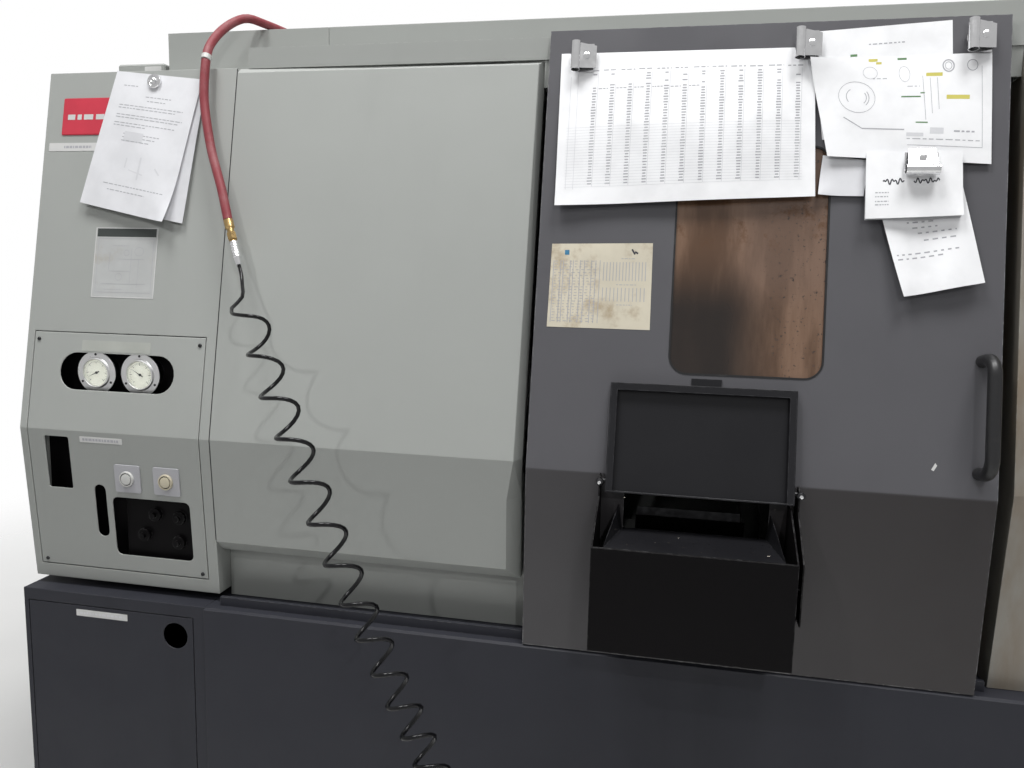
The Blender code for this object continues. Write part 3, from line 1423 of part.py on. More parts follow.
def make_turret():
    y, z = slant_point(TURRET_S, 0)
    x1 = TURRET_LEFT + TURRET_THICKNESS
    length = CARRIAGE_LEFT + 0.006 - GAP - TURRET_LEFT
    profile = [
        (0, -0.018),
        (0.050, -0.018),
        (0.056, -0.012),
        (0.056, 0),
        (TURRET_RADIUS - 0.010, 0),
        (TURRET_RADIUS, 0.010),
        (TURRET_RADIUS, TURRET_THICKNESS - 0.006),
        (TURRET_RADIUS - 0.006, TURRET_THICKNESS),
        (0.085, TURRET_THICKNESS),
        (0.085, length),
        (0, length),
    ]
    base = (TURRET_LEFT, y, z)
    disc = add("turret_disc", turned_mesh(profile, TURRET_STATIONS, base, (1, 0, 0)), "steel", base)
    low = TURRET_RADIUS - 0.034 + GAP
    for number in range(TURRET_STATIONS):
        pocket = turret_block(
            number, low - GAP, TURRET_RADIUS + 0.03, 0.034, TURRET_LEFT - 0.01, TURRET_LEFT + POCKET_DEPTH
        )
        boolean(disc, add(f"cut_pocket_{number + 10}", pocket, "steel"))
    # A square-shank turning tool clamped in one pocket, towards the spindle
    seat_x = TURRET_LEFT + POCKET_DEPTH - GAP
    shank = turret_block(9, low, TURRET_RADIUS + 0.022, 0.020, TURRET_LEFT - 0.006, seat_x)
    tool = add("turning_tool", shank, "steel")
    wedge = turret_block(9, low, TURRET_RADIUS - 0.004, 0.032, TURRET_LEFT - 0.003, TURRET_LEFT + 0.018)
    union(tool, add("join_tool_wedge", wedge, "steel"))
    nose = turret_block(
        9, TURRET_RADIUS + 0.018, TURRET_RADIUS + 0.030, 0.012, TURRET_LEFT - 0.012, TURRET_LEFT + 0.004
    )
    union(tool, add("join_tool_nose", nose, "steel"))
    # A drill holder two stations on, with its bore along the spindle
    block = turret_block(7, low, TURRET_RADIUS + 0.036, 0.0325, TURRET_LEFT - 0.008, seat_x)
    holder = add("drill_holder", block, "steel")
    direction = station_direction(7)
    centre = Vector((TURRET_LEFT, y, z)) + direction * (TURRET_RADIUS + 0.012)
    sleeve = turned_mesh(
        [(0, -0.052), (0.008, -0.052), (0.008, -0.030), (0.015, -0.026), (0.015, 0.010), (0, 0.010)],
        16,
        centre,
        (1, 0, 0),
    )
    union(holder, add("join_drill_sleeve", sleeve, "steel"))


# Parts-catcher arm


ARM_PIVOT = (KNEE_Y + 0.120, LEDGE_Z + 0.085)
CUP_LEFT = CATCHER_LEFT + 0.060
CUP_RIGHT = CATCHER_RIGHT - 0.060


def make_catcher_arm():
    y, z = ARM_PIVOT
    start = WALL_X + WALL_SHEET + GAP
    base = (start, y, z)
    length = CUP_RIGHT + 0.012 - start
    profile = [(0, 0), (0.022, 0), (0.022, 0.016), (0.011, 0.018), (0.011, length), (0, length)]
    shaft = add(
        "parts_catcher_arm", turned_mesh(profile, 16, base, (1, 0, 0)), "steel", base, smooth=True
    )
    for number, x in enumerate((CUP_LEFT + 0.0015, CUP_RIGHT - 0.0095)):
        arm = along_x(
            [(y - 0.009, z - 0.007), (y + 0.009, z - 0.007), (y + 0.008, z + 0.087), (y - 0.013, z + 0.087)],
            x,
            x + 0.008,
        )
        union(shaft, add(f"join_arm_{number}", arm, "steel"))
    cup_low = z + 0.085
    outer = [
        (y - 0.045, cup_low + 0.070),
        (y - 0.048, cup_low + 0.070),
        (y - 0.030, cup_low),
        (y + 0.030, cup_low),
        (y + 0.048, cup_low + 0.060),
        (y + 0.045, cup_low + 0.060),
        (y + 0.0275, cup_low + 0.003),
        (y - 0.0275, cup_low + 0.003),
    ]
    cup = along_x(outer, CUP_LEFT, CUP_RIGHT)
    union(shaft, add("join_arm_cup", cup, "steel"))


# Right cover with the operator's panel


CONSOLE_LEAN = math.atan(UPPER_SLOPE)


def make_right_cover():
    x0 = DOORWAY_RIGHT + GAP
    zs = (LEDGE_Z + GAP, KNEE_Z, PANEL_TOP_Z)
    front = [(front_y(z), z) for z in zs]
    back_near = KNEE_Y + COLUMN_DEPTH
    back_far = BACK_Y - BACK_RIM - GAP
    bm = bmesh.new()
    left = [bm.verts.new((x0, y, z)) for y, z in front]
    right = [bm.verts.new((RIGHT, y, z)) for y, z in front]
    back_left = [bm.verts.new((x0, back_near, z)) for _, z in front]
    mid_right = [bm.verts.new((RIGHT, back_near, z)) for _, z in front]
    roof_low = ROOF_Z - GAP
    far_zs = (zs[0], zs[1], roof_low)
    step = [bm.verts.new((RIGHT, back_near, roof_low))]
    far_right = [bm.verts.new((RIGHT, back_far, z)) for z in far_zs]
    for i in range(2):
        bm.faces.new((left[i], left[i + 1], right[i + 1], right[i]))
        bm.faces.new((left[i + 1], left[i], back_left[i], back_left[i + 1]))
    bm.faces.new((right[0], right[1], mid_right[1], mid_right[0]))
    bm.faces.new((right[1], right[2], mid_right[2], step[0], mid_right[1]))
    bm.faces.new((left[2], back_left[2], mid_right[2], right[2]))
    bm.faces.new((mid_right[0], mid_right[1], far_right[1], far_right[0]))
    bm.faces.new((mid_right[1], step[0], far_right[2], far_right[1]))
    cover = add("right_cover", bm, "light_paint")
    solidify(cover, SHEET)


def console_empty():
    empty = bpy.data.objects.new("console_frame", None)
    empty.location = (CONSOLE_X, front_y(CONSOLE_Z) - GAP, CONSOLE_Z)
    empty.rotation_euler = (-CONSOLE_LEAN, 0, 0)
    bpy.context.scene.collection.objects.link(empty)
    return empty


def on_console(obj, empty, place=(0, 0, 0)):
    obj.parent = empty
    obj.location = place


def make_console():
    """A shallow box on the right cover's upper face, leaning as it does, with its controls."""
    empty = console_empty()
    half = CONSOLE_WIDTH / 2
    depth = CONSOLE_DEPTH
    low, high = -CONSOLE_HEIGHT / 2, CONSOLE_HEIGHT / 2
    outline = rounded_rectangle(-half, half, low, high, 0.012, 3)
    body = add("operator_panel", through_front(outline, -depth, -GAP), "dark_paint")
    on_console(body, empty)
    bevel(body, 0.004)
    screen_low = high - 0.050 - SCREEN_HEIGHT
    recess = box_mesh(
        (-SCREEN_WIDTH / 2 - GAP, -depth - 0.02, screen_low - GAP),
        (SCREEN_WIDTH / 2 + GAP, -depth + 0.010, screen_low + SCREEN_HEIGHT + GAP),
    )
    cutter = add("cut_screen_recess", recess, "dark_paint")
    on_console(cutter, empty)
    boolean(body, cutter)
    screen = box_mesh(
        (-SCREEN_WIDTH / 2, -depth + 0.003, screen_low),
        (SCREEN_WIDTH / 2, -depth + 0.010 - GAP, screen_low + SCREEN_HEIGHT),
    )
    on_console(add("control_screen", screen, "screen"), empty)
    # Rows of keys stand on the panel under the screen
    for row in range(4):
        for column in range(6):
            x = -0.118 + column * 0.040
            z = screen_low - 0.045 - row * 0.032
            key = box_mesh((x, -depth - 0.003, z), (x + 0.030, -depth + 0.004, z + 0.022))
            cutter = add(f"join_key_{row}_{column}", key, "dark_paint")
            on_console(cutter, empty)
            union(body, cutter)

    controls = (
        ("emergency_stop", "red_plastic", -0.150, low + 0.060, 0.020, 0.032, 0.006),
        ("cycle_start", "green_plastic", -0.075, low + 0.060, 0.0125, 0.013, 0.004),
        ("feed_hold", "red_plastic", -0.025, low + 0.060, 0.0125, 0.013, 0.004),
    )
    stem = 0.0080
    for name, finish, x, z, radius, height, travel in controls:
        profile = [
            (0, -0.010),
            (stem, -0.010),
            (stem, travel + 0.001),
            (radius, travel + 0.001),
            (radius, height - 0.003),
            (radius - 0.003, height),
            (0, height),
        ]
        button = add(name, turned_mesh(profile, 20, (0, 0, 0), (0, -1, 0)), finish, smooth=True)
        on_console(button, empty, (x, -depth, z))
        hole = disc_mesh(running_radius(stem, 20), 20, (0, 0.020, 0), (0, -1, 0), 0.05)
        cutter = add(f"cut_{name}", hole, finish)
        on_console(cutter, empty, (x, -depth, z))
        boolean(body, cutter)

    knob_profile = [
        (0, -0.008),
        (stem, -0.008),
        (stem, 0.0005),
        (0.017, 0.0005),
        (0.014, 0.018),
        (0, 0.018),
    ]
    knob_mesh = turned_mesh(knob_profile, 20, (0, 0, 0), (0, -1, 0))
    knob = add("mode_knob", knob_mesh, "black_plastic", smooth=True)
    on_console(knob, empty, (0.035, -depth, low + 0.060))
    fin = box_mesh((-0.003, -0.024, -0.014), (0.003, -0.014, 0.014))
    fin_obj = add("join_knob_fin", fin, "black_plastic")
    on_console(fin_obj, empty, (0.035, -depth, low + 0.060))
    union(knob, fin_obj)
    hole = disc_mesh(running_radius(stem, 20), 20, (0, 0.020, 0), (0, -1, 0), 0.05)
    cutter = add("cut_mode_knob", hole, "dark_paint")
    on_console(cutter, empty, (0.035, -depth, low + 0.060))
    boolean(body, cutter)

    wheel_radius = 0.038
    wheel_profile = [
        (0, -0.008),
        (stem, -0.008),
        (stem, 0.001),
        (wheel_radius, 0.001),
        (wheel_radius + 0.001, 0.006),
        (wheel_radius, 0.012),
        (0.020, 0.010),
        (0.018, 0.014),
        (0, 0.014),
    ]
    place = (0.130, -depth, low + 0.075)
    wheel = add(
        "pulse_handwheel", turned_mesh(wheel_profile, 28, (0, 0, 0), (0, -1, 0)), "black_plastic", smooth=True
    )
    on_console(wheel, empty, place)
    crank = turned_mesh(
        [(0, 0.008), (0.005, 0.008), (0.006, 0.030), (0, 0.032)], 12, (0.027, 0, 0), (0, -1, 0)
    )
    crank_obj = add("join_crank", crank, "black_plastic")
    on_console(crank_obj, empty, place)
    union(wheel, crank_obj)
    hole = disc_mesh(running_radius(stem, 20), 20, (0, 0.020, 0), (0, -1, 0), 0.05)
    cutter = add("cut_handwheel", hole, "dark_paint")
    on_console(cutter, empty, place)
    boolean(body, cutter)


# Air hoses, fitting and blow gun


RED_ROUTE = (
    (0.462, 0.500, 1.2000),
    (0.458, 0.420, 1.1995),
    (0.440, 0.330, 1.1995),
    (0.420, 0.270, 1.2010),
    (0.402, 0.235, 1.2020),
    (0.388, 0.208, 1.1890),
    (0.376, 0.175, 1.1620),
    (0.372, 0.140, 1.1270),
    (0.375, 0.117, 1.0950),
    (0.377, 0.103, 1.0400),
    (0.381, 0.096, 1.0000),
    (0.392, 0.086, 0.9550),
    (0.407, 0.075, 0.9050),
    (0.424, 0.064, 0.8650),
    (0.441, 0.053, 0.8250),
    (0.460, 0.040, 0.7700),
)
FITTING_START = (0.4605, 0.0398, 0.7690)
FITTING_END = (0.4960, 0.0150, 0.6830)
COIL_ROUTE = (
    (0.4962, 0.0148, 0.6825),
    (0.5045, 0.0085, 0.6640),
    (0.5180, -0.012, 0.6420),
    (0.5380, -0.042, 0.6210),
    (0.5700, -0.085, 0.5920),
    (0.6100, -0.120, 0.5540),
    (0.6670, -0.180, 0.4860),
    (0.7240, -0.235, 0.4300),
    (0.7650, -0.270, 0.3720),
    (0.7980, -0.285, 0.3200),
    (0.8260, -0.290, 0.2610),
    (0.8540, -0.295, 0.2030),
    (0.8810, -0.300, 0.1520),
    (0.9060, -0.300, 0.0990),
    (0.9330, -0.300, 0.0430),
    (0.9600, -0.300, -0.010),
    (0.9860, -0.300, -0.064),
    (1.0300, -0.302, -0.160),
    (1.0850, -0.304, -0.280),
    (1.1400, -0.306, -0.400),
    (1.2000, -0.308, -0.500),
    (1.2700, -0.310, -0.580),
    (1.3500, -0.312, -0.6150),
    (1.4400, -0.314, -0.6210),
    (1.5000, -0.316, -0.6230),
    (1.5450, -0.318, -0.6380),
    (1.5900, -0.320, -0.6460),
)
GUN_START = (1.5905, -0.320, -0.6460)
OUTLET_DEPTH = 0.040


def make_red_hose():
    route = smooth_route([at(*p) for p in RED_ROUTE], 0.030)
    tube("red_hose", route, HOSE_RADIUS, "red_rubber")
    # The outlet block that the hose comes from stands on the left hood
    x, y, z = at(*RED_ROUTE[0])
    outlet = box_mesh(
        (x - 0.022, y + GAP, HOOD_TOP_Z - 0.001), (x + 0.022, y + OUTLET_DEPTH, HOOD_TOP_Z + 0.034)
    )
    union(bpy.data.objects["upper_cover_left"], add("join_air_outlet", outlet, "brass"))


def make_fitting():
    start, end = Vector(at(*FITTING_START)), Vector(at(*FITTING_END))
    axis = (end - start).normalized()
    length = (end - start).length
    r = FITTING_RADIUS
    profile = [
        (0, 0.0002),
        (r, 0.0002),
        (r, 0.018),
        (0.0070, 0.020),
        (0.0070, 0.026),
        (r, 0.028),
        (r, 0.044),
        (0.0060, 0.047),
        (0.0060, 0.056),
        (0.0075, 0.058),
        (0.0075, length - 0.012),
        (0.0060, length - 0.0003),
        (0, length - 0.0003),
    ]
    add("hose_fitting", turned_mesh(profile, 12, start, axis), "brass", smooth=True)


def coil_radius_factor(distance, total):
    """The lead is thin at both ends and as wide as the coil between them."""
    lead_in, lead_out, ramp = 0.075, 0.075, 0.030
    if distance < lead_in:
        return LEADER_RADIUS / COIL_RADIUS
    if distance > total - lead_out:
        return LEADER_RADIUS / COIL_RADIUS
    rise = min(1.0, (distance - lead_in) / ramp, (total - lead_out - distance) / ramp)
    return LEADER_RADIUS / COIL_RADIUS + rise * (1 - LEADER_RADIUS / COIL_RADIUS)


def make_coil_hose():
    route = smooth_route([at(*p) for p in COIL_ROUTE], 0.034)
    # The lead leaves the fitting in line with it
    axis = (Vector(at(*FITTING_END)) - Vector(at(*FITTING_START))).normalized()
    route.insert(1, route[0] + axis * 0.008)
    steps = [0.0]
    for a, b in zip(route, route[1:]):
        steps.append(steps[-1] + (b - a).length)
    radii = [coil_radius_factor(d, steps[-1]) for d in steps]
    tube("coil_hose", route, COIL_RADIUS, "black_rubber", radii=radii)


GUN_THICKNESS = 0.022


def make_gun():
    """A blow gun that lies on its side on the floor, nozzle away from the hose."""
    x, y, z = at(*GUN_START)
    low = 0.0005
    outline = [
        (0.0005, -0.010),
        (0.012, -0.014),
        (0.075, -0.016),
        (0.105, 0.012),
        (0.150, 0.020),
        (0.158, 0.030),
        (0.155, 0.046),
        (0.140, 0.052),
        (0.088, 0.052),
        (0.070, 0.040),
        (0.060, 0.012),
        (0.0005, 0.010),
    ]
    body = prism_mesh([(x + a, y + b, low) for a, b in outline], (0, 0, GUN_THICKNESS))
    gun = add("blow_gun", body, "black_plastic")
    bevel(gun, 0.003)
    centre = Vector((x + 0.150, y + 0.036, low + GUN_THICKNESS / 2))
    nozzle = turned_mesh(
        [(0, 0), (0.009, 0), (0.009, 0.018), (0.0045, 0.022), (0.0045, 0.100), (0.003, 0.108), (0, 0.108)],
        12,
        centre,
        (1, 0, 0),
    )
    union(gun, add("join_nozzle", nozzle, "brass"))
    pivot = (x + 0.128, y + 0.0128, low + GUN_THICKNESS / 2)
    lever = prism_mesh(
        [
            (pivot[0] + 0.006, pivot[1] + 0.004, low + 0.004),
            (pivot[0] - 0.022, pivot[1] - 0.018, low + 0.004),
            (pivot[0] - 0.060, pivot[1] - 0.038, low + 0.004),
            (pivot[0] - 0.062, pivot[1] - 0.042, low + 0.004),
            (pivot[0] - 0.020, pivot[1] - 0.024, low + 0.004),
            (pivot[0] + 0.008, pivot[1] - 0.002, low + 0.004),
        ],
        (0, 0, GUN_THICKNESS - 0.008),
    )
    add("blow_gun_trigger", lever, "steel", pivot)


def make_terminal_box():
    x, y, z = at(0.095, 0.300, 1.076)
    box = box_mesh((x - 0.060, y, z + GAP), (x + 0.060, y + 0.120, z + 0.060))
    obj = add("terminal_box", box, "light_paint")
    bevel(obj, 0.004)


clear_scene()
make_base()
make_feet()
make_cabinet()
make_column()
PLATE_Y = make_back_plate()
make_gauges(PLATE_Y)
make_knobs(PLATE_Y)
make_valve(PLATE_Y)
make_centre_cover()
make_covers()
make_hoods()
make_door()
make_handle()
make_rail()
make_catcher()
make_chute()
make_lid()
make_bed()
make_headstock()
make_spindle()
make_chuck()
make_jaws()
make_wall()
make_chip_tray()
make_carriage()
make_cross_slide()
make_turret()
make_catcher_arm()
make_right_cover()
make_console()
make_red_hose()
make_fitting()
make_coil_hose()
make_gun()
make_terminal_box()
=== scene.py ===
"""The looks of a bar-fed CNC turning lathe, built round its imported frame."""

import math
import random

import bmesh
import bpy
from mathutils import Matrix, Vector


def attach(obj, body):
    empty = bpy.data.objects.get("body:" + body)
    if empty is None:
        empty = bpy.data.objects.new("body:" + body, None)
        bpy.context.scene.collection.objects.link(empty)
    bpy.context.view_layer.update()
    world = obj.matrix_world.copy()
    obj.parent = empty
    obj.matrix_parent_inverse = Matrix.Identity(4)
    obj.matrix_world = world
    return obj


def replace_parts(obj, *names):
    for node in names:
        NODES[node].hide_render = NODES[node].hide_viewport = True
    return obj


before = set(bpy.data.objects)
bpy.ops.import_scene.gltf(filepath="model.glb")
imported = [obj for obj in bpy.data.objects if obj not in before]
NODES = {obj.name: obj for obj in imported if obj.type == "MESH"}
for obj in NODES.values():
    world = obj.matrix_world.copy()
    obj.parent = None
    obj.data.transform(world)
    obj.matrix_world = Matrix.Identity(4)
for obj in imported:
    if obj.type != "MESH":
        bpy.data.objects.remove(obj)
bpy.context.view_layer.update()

# Places are given from the column's left edge, the knee of the front sheets and the base's ledge
COLUMN_LEFT = -1.245
KNEE_Y = -0.58
LEDGE_Z = 0.66
KNEE = 0.342
DOOR_KNEE = 0.338
DOOR_PROUD = 0.025
UPPER = math.atan(0.184)
LOWER = math.atan(0.0745)


def at(x, y, z):
    return Vector((COLUMN_LEFT + x, KNEE_Y + y, LEDGE_Z + z))


class Wall:
    """An upright side of the enclosure away from the front; a point on it is found along it and by height."""

    body = "machine"

    def __init__(self, origin, across, out):
        self.origin, self.across, self.out = Vector(origin), Vector(across), Vector(out)

    def at(self, along, z, out=0.0):
        return self.origin + self.across * along + Vector((0, 0, z)) + self.out * out


class Face:
    """A flat front on a body, that leans; a point on it is found from x and its height."""

    def __init__(self, y, z, lean, body="machine"):
        self.y, self.z, self.lean, self.body = y, z, lean, body
        self.up = Vector((0, math.sin(lean), math.cos(lean)))
        self.out = Vector((0, -math.cos(lean), math.sin(lean)))

    def at(self, x, z, out=0.0):
        y = self.y + (z - self.z) * math.tan(self.lean)
        return at(x, y, z) + self.out * out


COLUMN_UP = Face(0, KNEE, UPPER)
COLUMN_LOW = Face(0, KNEE, -LOWER)
DOOR_UP = Face(-DOOR_PROUD, DOOR_KNEE, UPPER, "door")
CABINET = Face(-0.009, 0, 0, "cabinet_door")
HALF_LENGTH = 1.25
BACK_Y = 0.745
BACK = Wall((0, BACK_Y, 0), (1, 0, 0), (0, 1, 0))
RIGHT_END = Wall((HALF_LENGTH, 0, 0), (0, 1, 0), (1, 0, 0))
LEFT_END = Wall((COLUMN_LEFT, 0, 0), (0, 1, 0), (-1, 0, 0))


def linked(name, data):
    obj = bpy.data.objects.new(name, data)
    bpy.context.scene.collection.objects.link(obj)
    return obj


# Camera at the photograph's place

FOCAL_LENGTH = 27.896
FOCAL_PIXELS = 793.5
MIDDLE_ROW = 384
camera = linked("camera", bpy.data.cameras.new("camera"))
bpy.context.scene.camera = camera
camera.data.lens = FOCAL_LENGTH
camera.data.sensor_width = 36
right = Vector((0.9798, 0.1985, 0.0238)).normalized()
forward = Vector((-0.1938, 0.9722, -0.1314)).normalized()
up = right.cross(forward).normalized()
right = forward.cross(up)
turn = Matrix((right, up, -forward)).transposed().to_4x4()
camera.matrix_world = Matrix.Translation(at(1.311, -1.382, 0.67)) @ turn


# Materials


def shade(colour, factor):
    return tuple(min(1.0, c * factor) for c in colour)


class Surface:
    """A Principled material whose colour, gloss and bump come from procedural nodes."""

    def __init__(self, name, colour, roughness=0.5, metallic=0.0):
        self.material = bpy.data.materials.new(name)
        self.material.use_nodes = True
        self.nodes = self.material.node_tree.nodes
        self.shader = self.nodes["Principled BSDF"]
        self.shader.inputs["Base Color"].default_value = (*colour, 1)
        self.shader.inputs["Roughness"].default_value = roughness
        self.shader.inputs["Metallic"].default_value = metallic
        self.place = self.add("ShaderNodeTexCoord").outputs["Object"]

    def add(self, kind, **props):
        node = self.nodes.new(kind)
        for key, value in props.items():
            setattr(node, key, value)
        return node

    def put(self, socket, value):
        if isinstance(value, bpy.types.NodeSocket):
            self.material.node_tree.links.new(value, socket)
        elif isinstance(value, tuple) and len(value) == 3 and socket.type == "RGBA":
            socket.default_value = (*value, 1)
        else:
            socket.default_value = value

    def math(self, operation, a, b=0.0, clamp=False):
        node = self.add("ShaderNodeMath", operation=operation, use_clamp=clamp)
        self.put(node.inputs[0], a)
        self.put(node.inputs[1], b)
        return node.outputs[0]

    def span(self, value, low, high, to_low=0.0, to_high=1.0):
        node = self.add("ShaderNodeMapRange", interpolation_type="SMOOTHSTEP")
        for socket, given in zip(node.inputs, (value, low, high, to_low, to_high)):
            self.put(socket, given)
        return node.outputs[0]

    def stretched(self, stretch, shift=(0, 0, 0)):
        node = self.add("ShaderNodeMapping")
        self.put(node.inputs["Vector"], self.place)
        node.inputs["Scale"].default_value = stretch
        node.inputs["Location"].default_value = shift
        return node.outputs[0]

    def noise(self, scale, detail=3.0, roughness=0.55, stretch=(1, 1, 1), shift=(0, 0, 0)):
        node = self.add("ShaderNodeTexNoise")
        self.put(node.inputs["Vector"], self.stretched(stretch, shift))
        node.inputs["Scale"].default_value = scale
        node.inputs["Detail"].default_value = detail
        node.inputs["Roughness"].default_value = roughness
        return node.outputs["Fac"]

    def axis(self, name):
        node = self.add("ShaderNodeSeparateXYZ")
        self.put(node.inputs[0], self.place)
        return node.outputs[name]

    def mix(self, factor, a, b):
        node = self.add("ShaderNodeMix", data_type="RGBA")
        self.put(node.inputs[0], factor)
        self.put(node.inputs[6], a)
        self.put(node.inputs[7], b)
        return node.outputs[2]

    def over(self, tone, colour, mask, amount):
        """The tone, with a colour laid over it where the mask is high."""
        return self.mix(self.math("MULTIPLY", mask, amount), tone, colour)

    def edges(self, radius):
        """1 where an edge is near, 0 on the flat."""
        soft = self.add("ShaderNodeBevel", samples=4)
        soft.inputs["Radius"].default_value = radius
        sharp = self.add("ShaderNodeNewGeometry").outputs["Normal"]
        dot = self.add("ShaderNodeVectorMath", operation="DOT_PRODUCT")
        self.put(dot.inputs[0], soft.outputs[0])
        self.put(dot.inputs[1], sharp)
        return self.math("SUBTRACT", 1.0, dot.outputs["Value"], clamp=True)

    def bump(self, height, strength, distance=0.001):
        node = self.add("ShaderNodeBump")
        node.inputs["Strength"].default_value = strength
        node.inputs["Distance"].default_value = distance
        self.put(node.inputs["Height"], height)
        self.put(self.shader.inputs["Normal"], node.outputs[0])

    def finish(self, colour=None, roughness=None):
        if colour is not None:
            self.put(self.shader.inputs["Base Color"], colour)
        if roughness is not None:
            self.put(self.shader.inputs["Roughness"], roughness)
        return self.material


def door_knee_shade(s):
    """Painted shade on the door below its knee, where the face turns down, darker to the right."""
    under = s.span(s.axis("Z"), LEDGE_Z + DOOR_KNEE - 0.004, LEDGE_Z + DOOR_KNEE + 0.003, 1.0, 0.0)
    across = s.span(s.axis("X"), COLUMN_LEFT + 1.08, COLUMN_LEFT + 1.84, 0.55, 0.84)
    return (0.016, 0.012, 0.011), s.math("MULTIPLY", under, across)


def gap_film(s):
    """Brown stain where coolant runs out beside the door."""
    beside = s.span(s.axis("X"), COLUMN_LEFT + 1.87, COLUMN_LEFT + 1.99, 0.82, 0.12)
    patch = s.span(s.noise(5, 5, 0.6, stretch=(2, 2, 0.5)), 0.35, 0.65, 0.5, 1.0)
    return (0.19, 0.13, 0.075), s.math("MULTIPLY", beside, patch)


def cover_knee_shade(s):
    """A thin film of dirt under the knee of the light covers."""
    # Painted shade on the light covers below the knee, where their faces turn down.
    knee = LEDGE_Z + KNEE
    return (0.1, 0.105, 0.1), s.span(s.axis("Z"), knee - 0.003, knee + 0.003, 0.2, 0.0)


def paint(name, colour, roughness, grime, wear, bare, peel=0.12, edge=0.003, stain_and_shade=None):
    """Enamel on sheet metal, with uneven tone, oily marks, paint rubbed through along the edges, and any
    overlay the caller gives: a brown stain beside the door, painted shade below the knee.
    """
    s = Surface(name, colour, roughness)
    cloud = s.span(s.noise(1.1, 3), 0.3, 0.7)
    tone = s.mix(cloud, shade(colour, 0.965), shade(colour, 1.02))
    streaks = s.span(s.noise(3.2, 6, 0.65, stretch=(3.0, 3.0, 0.3)), 0.54, 0.8)
    tone = s.over(tone, shade(colour, 0.66), streaks, grime)
    drips = s.span(s.noise(2.1, 4, 0.6, stretch=(9.0, 9.0, 0.25), shift=(4, 0, 2)), 0.6, 0.78)
    tone = s.over(tone, shade(colour, 0.72), drips, grime * 0.7)
    specks = s.span(s.noise(150, 3, 0.7), 0.7, 0.78)
    tone = s.over(tone, shade(colour, 0.45), specks, grime * 1.2)
    # Lay on the caller's overlay: on the right cover a brown stain, on the door and the light covers painted
    # shade below the knee
    if stain_and_shade:
        stain_and_shade_colour, amount = stain_and_shade(s)
        tone = s.mix(amount, tone, stain_and_shade_colour)
    near = s.span(s.edges(edge), 0.03, 0.22)
    broken = s.span(s.noise(75, 5, 0.7), 0.44, 0.6)
    worn = s.math("MULTIPLY", s.math("MULTIPLY", near, broken), wear)
    tone = s.mix(worn, tone, bare)
    rubbed = s.noise(9, 4, 0.6)
    gloss = s.span(rubbed, 0.3, 0.7, roughness - 0.06, roughness + 0.08)
    s.bump(s.math("ADD", s.noise(420, 2), s.math("MULTIPLY", s.noise(60, 2), 0.5)), peel, 0.0006)
    return s.finish(tone, gloss)


def metal(name, colour, roughness=0.3, grain=(1, 1, 1), tarnish=0.2, scale=90):
    s = Surface(name, colour, roughness, 1.0)
    lines = s.noise(scale, 4, 0.6, stretch=grain)
    stain = s.span(s.noise(22, 4), 0.45, 0.7)
    tone = s.over(colour, shade(colour, 0.45), stain, tarnish)
    s.bump(lines, 0.15, 0.0004)
    return s.finish(tone, s.span(lines, 0.3, 0.7, roughness * 0.8, roughness * 1.35))


def plastic(name, colour, roughness=0.4, dust=0.15, grain=600):
    s = Surface(name, colour, roughness)
    dusty = s.span(s.noise(35, 5, 0.65), 0.5, 0.8)
    tone = s.over(colour, (0.3, 0.29, 0.27), dusty, dust)
    s.bump(s.noise(grain, 2), 0.1, 0.0003)
    return s.finish(tone, s.span(dusty, 0, 1, roughness, min(1.0, roughness + 0.25)))


LIGHT = (0.39, 0.404, 0.386)
DARK = (0.099, 0.098, 0.107)

pale_edges = {"wear": 0.45, "bare": (0.66, 0.67, 0.64)}
light_paint = paint("light_enamel", LIGHT, 0.42, 0.1, **pale_edges)
dark_paint = paint("dark_enamel", DARK, 0.42, 0.14, 0.55, (0.4, 0.4, 0.4))
# The door's and the light covers' enamel carry painted shade below the knee
door_paint = paint("door_enamel", DARK, 0.42, 0.14, 0.7, (0.46, 0.46, 0.46), stain_and_shade=door_knee_shade)
front_paint = paint("front_enamel", LIGHT, 0.42, 0.1, stain_and_shade=cover_knee_shade, **pale_edges)
right_paint = paint("stained_enamel", LIGHT, 0.42, 0.4, stain_and_shade=gap_film, **pale_edges)
charcoal, charcoal_bare = (0.03, 0.031, 0.039), (0.22, 0.22, 0.215)
base_paint = paint("charcoal_enamel", charcoal, 0.52, 0.35, 0.55, charcoal_bare, edge=0.0022)
# Black enamel darker and duller than the lid's, as painted shade on the catcher box; the gauge back plate and
# valve block use it too
shaded_black_paint = paint("black_enamel_painted_shade", (0.005, 0.0045, 0.005), 0.42, 0.2, 0.35, (0.2, 0.2, 0.2))
black_paint = paint("black_enamel", (0.012, 0.012, 0.014), 0.36, 0.15, 0.35, (0.16, 0.16, 0.17))
oily_paint = paint("oily_enamel", (0.13, 0.125, 0.11), 0.24, 0.75, 0.3, (0.2, 0.18, 0.15))
steel = metal("ground_steel", (0.56, 0.56, 0.57), 0.32)
for dull, level in ((base_paint, 0.22), (shaded_black_paint, 0.08), (black_paint, 0.3)):
    dull.node_tree.nodes["Principled BSDF"].inputs["Specular IOR Level"].default_value = level
oily_steel = metal("oily_steel", (0.16, 0.145, 0.125), 0.26, tarnish=0.6)
dark_steel = metal("blackened_steel", (0.055, 0.055, 0.058), 0.36, tarnish=0.3)
chrome = metal("polished_chrome", (0.86, 0.86, 0.87), 0.2, tarnish=0.1)
brass = metal("machined_brass", (0.52, 0.36, 0.16), 0.3, tarnish=0.45)
casting = paint("painted_casting", (0.085, 0.088, 0.085), 0.4, 0.6, 0.5, (0.55, 0.55, 0.53), peel=0.5)
white_plastic = plastic("white_plastic", (0.58, 0.58, 0.56), 0.42)
plate_plastic = plastic("lavender_plate", (0.43, 0.43, 0.455), 0.45)
cream_plastic = plastic("aged_plastic", (0.55, 0.5, 0.38), 0.45)
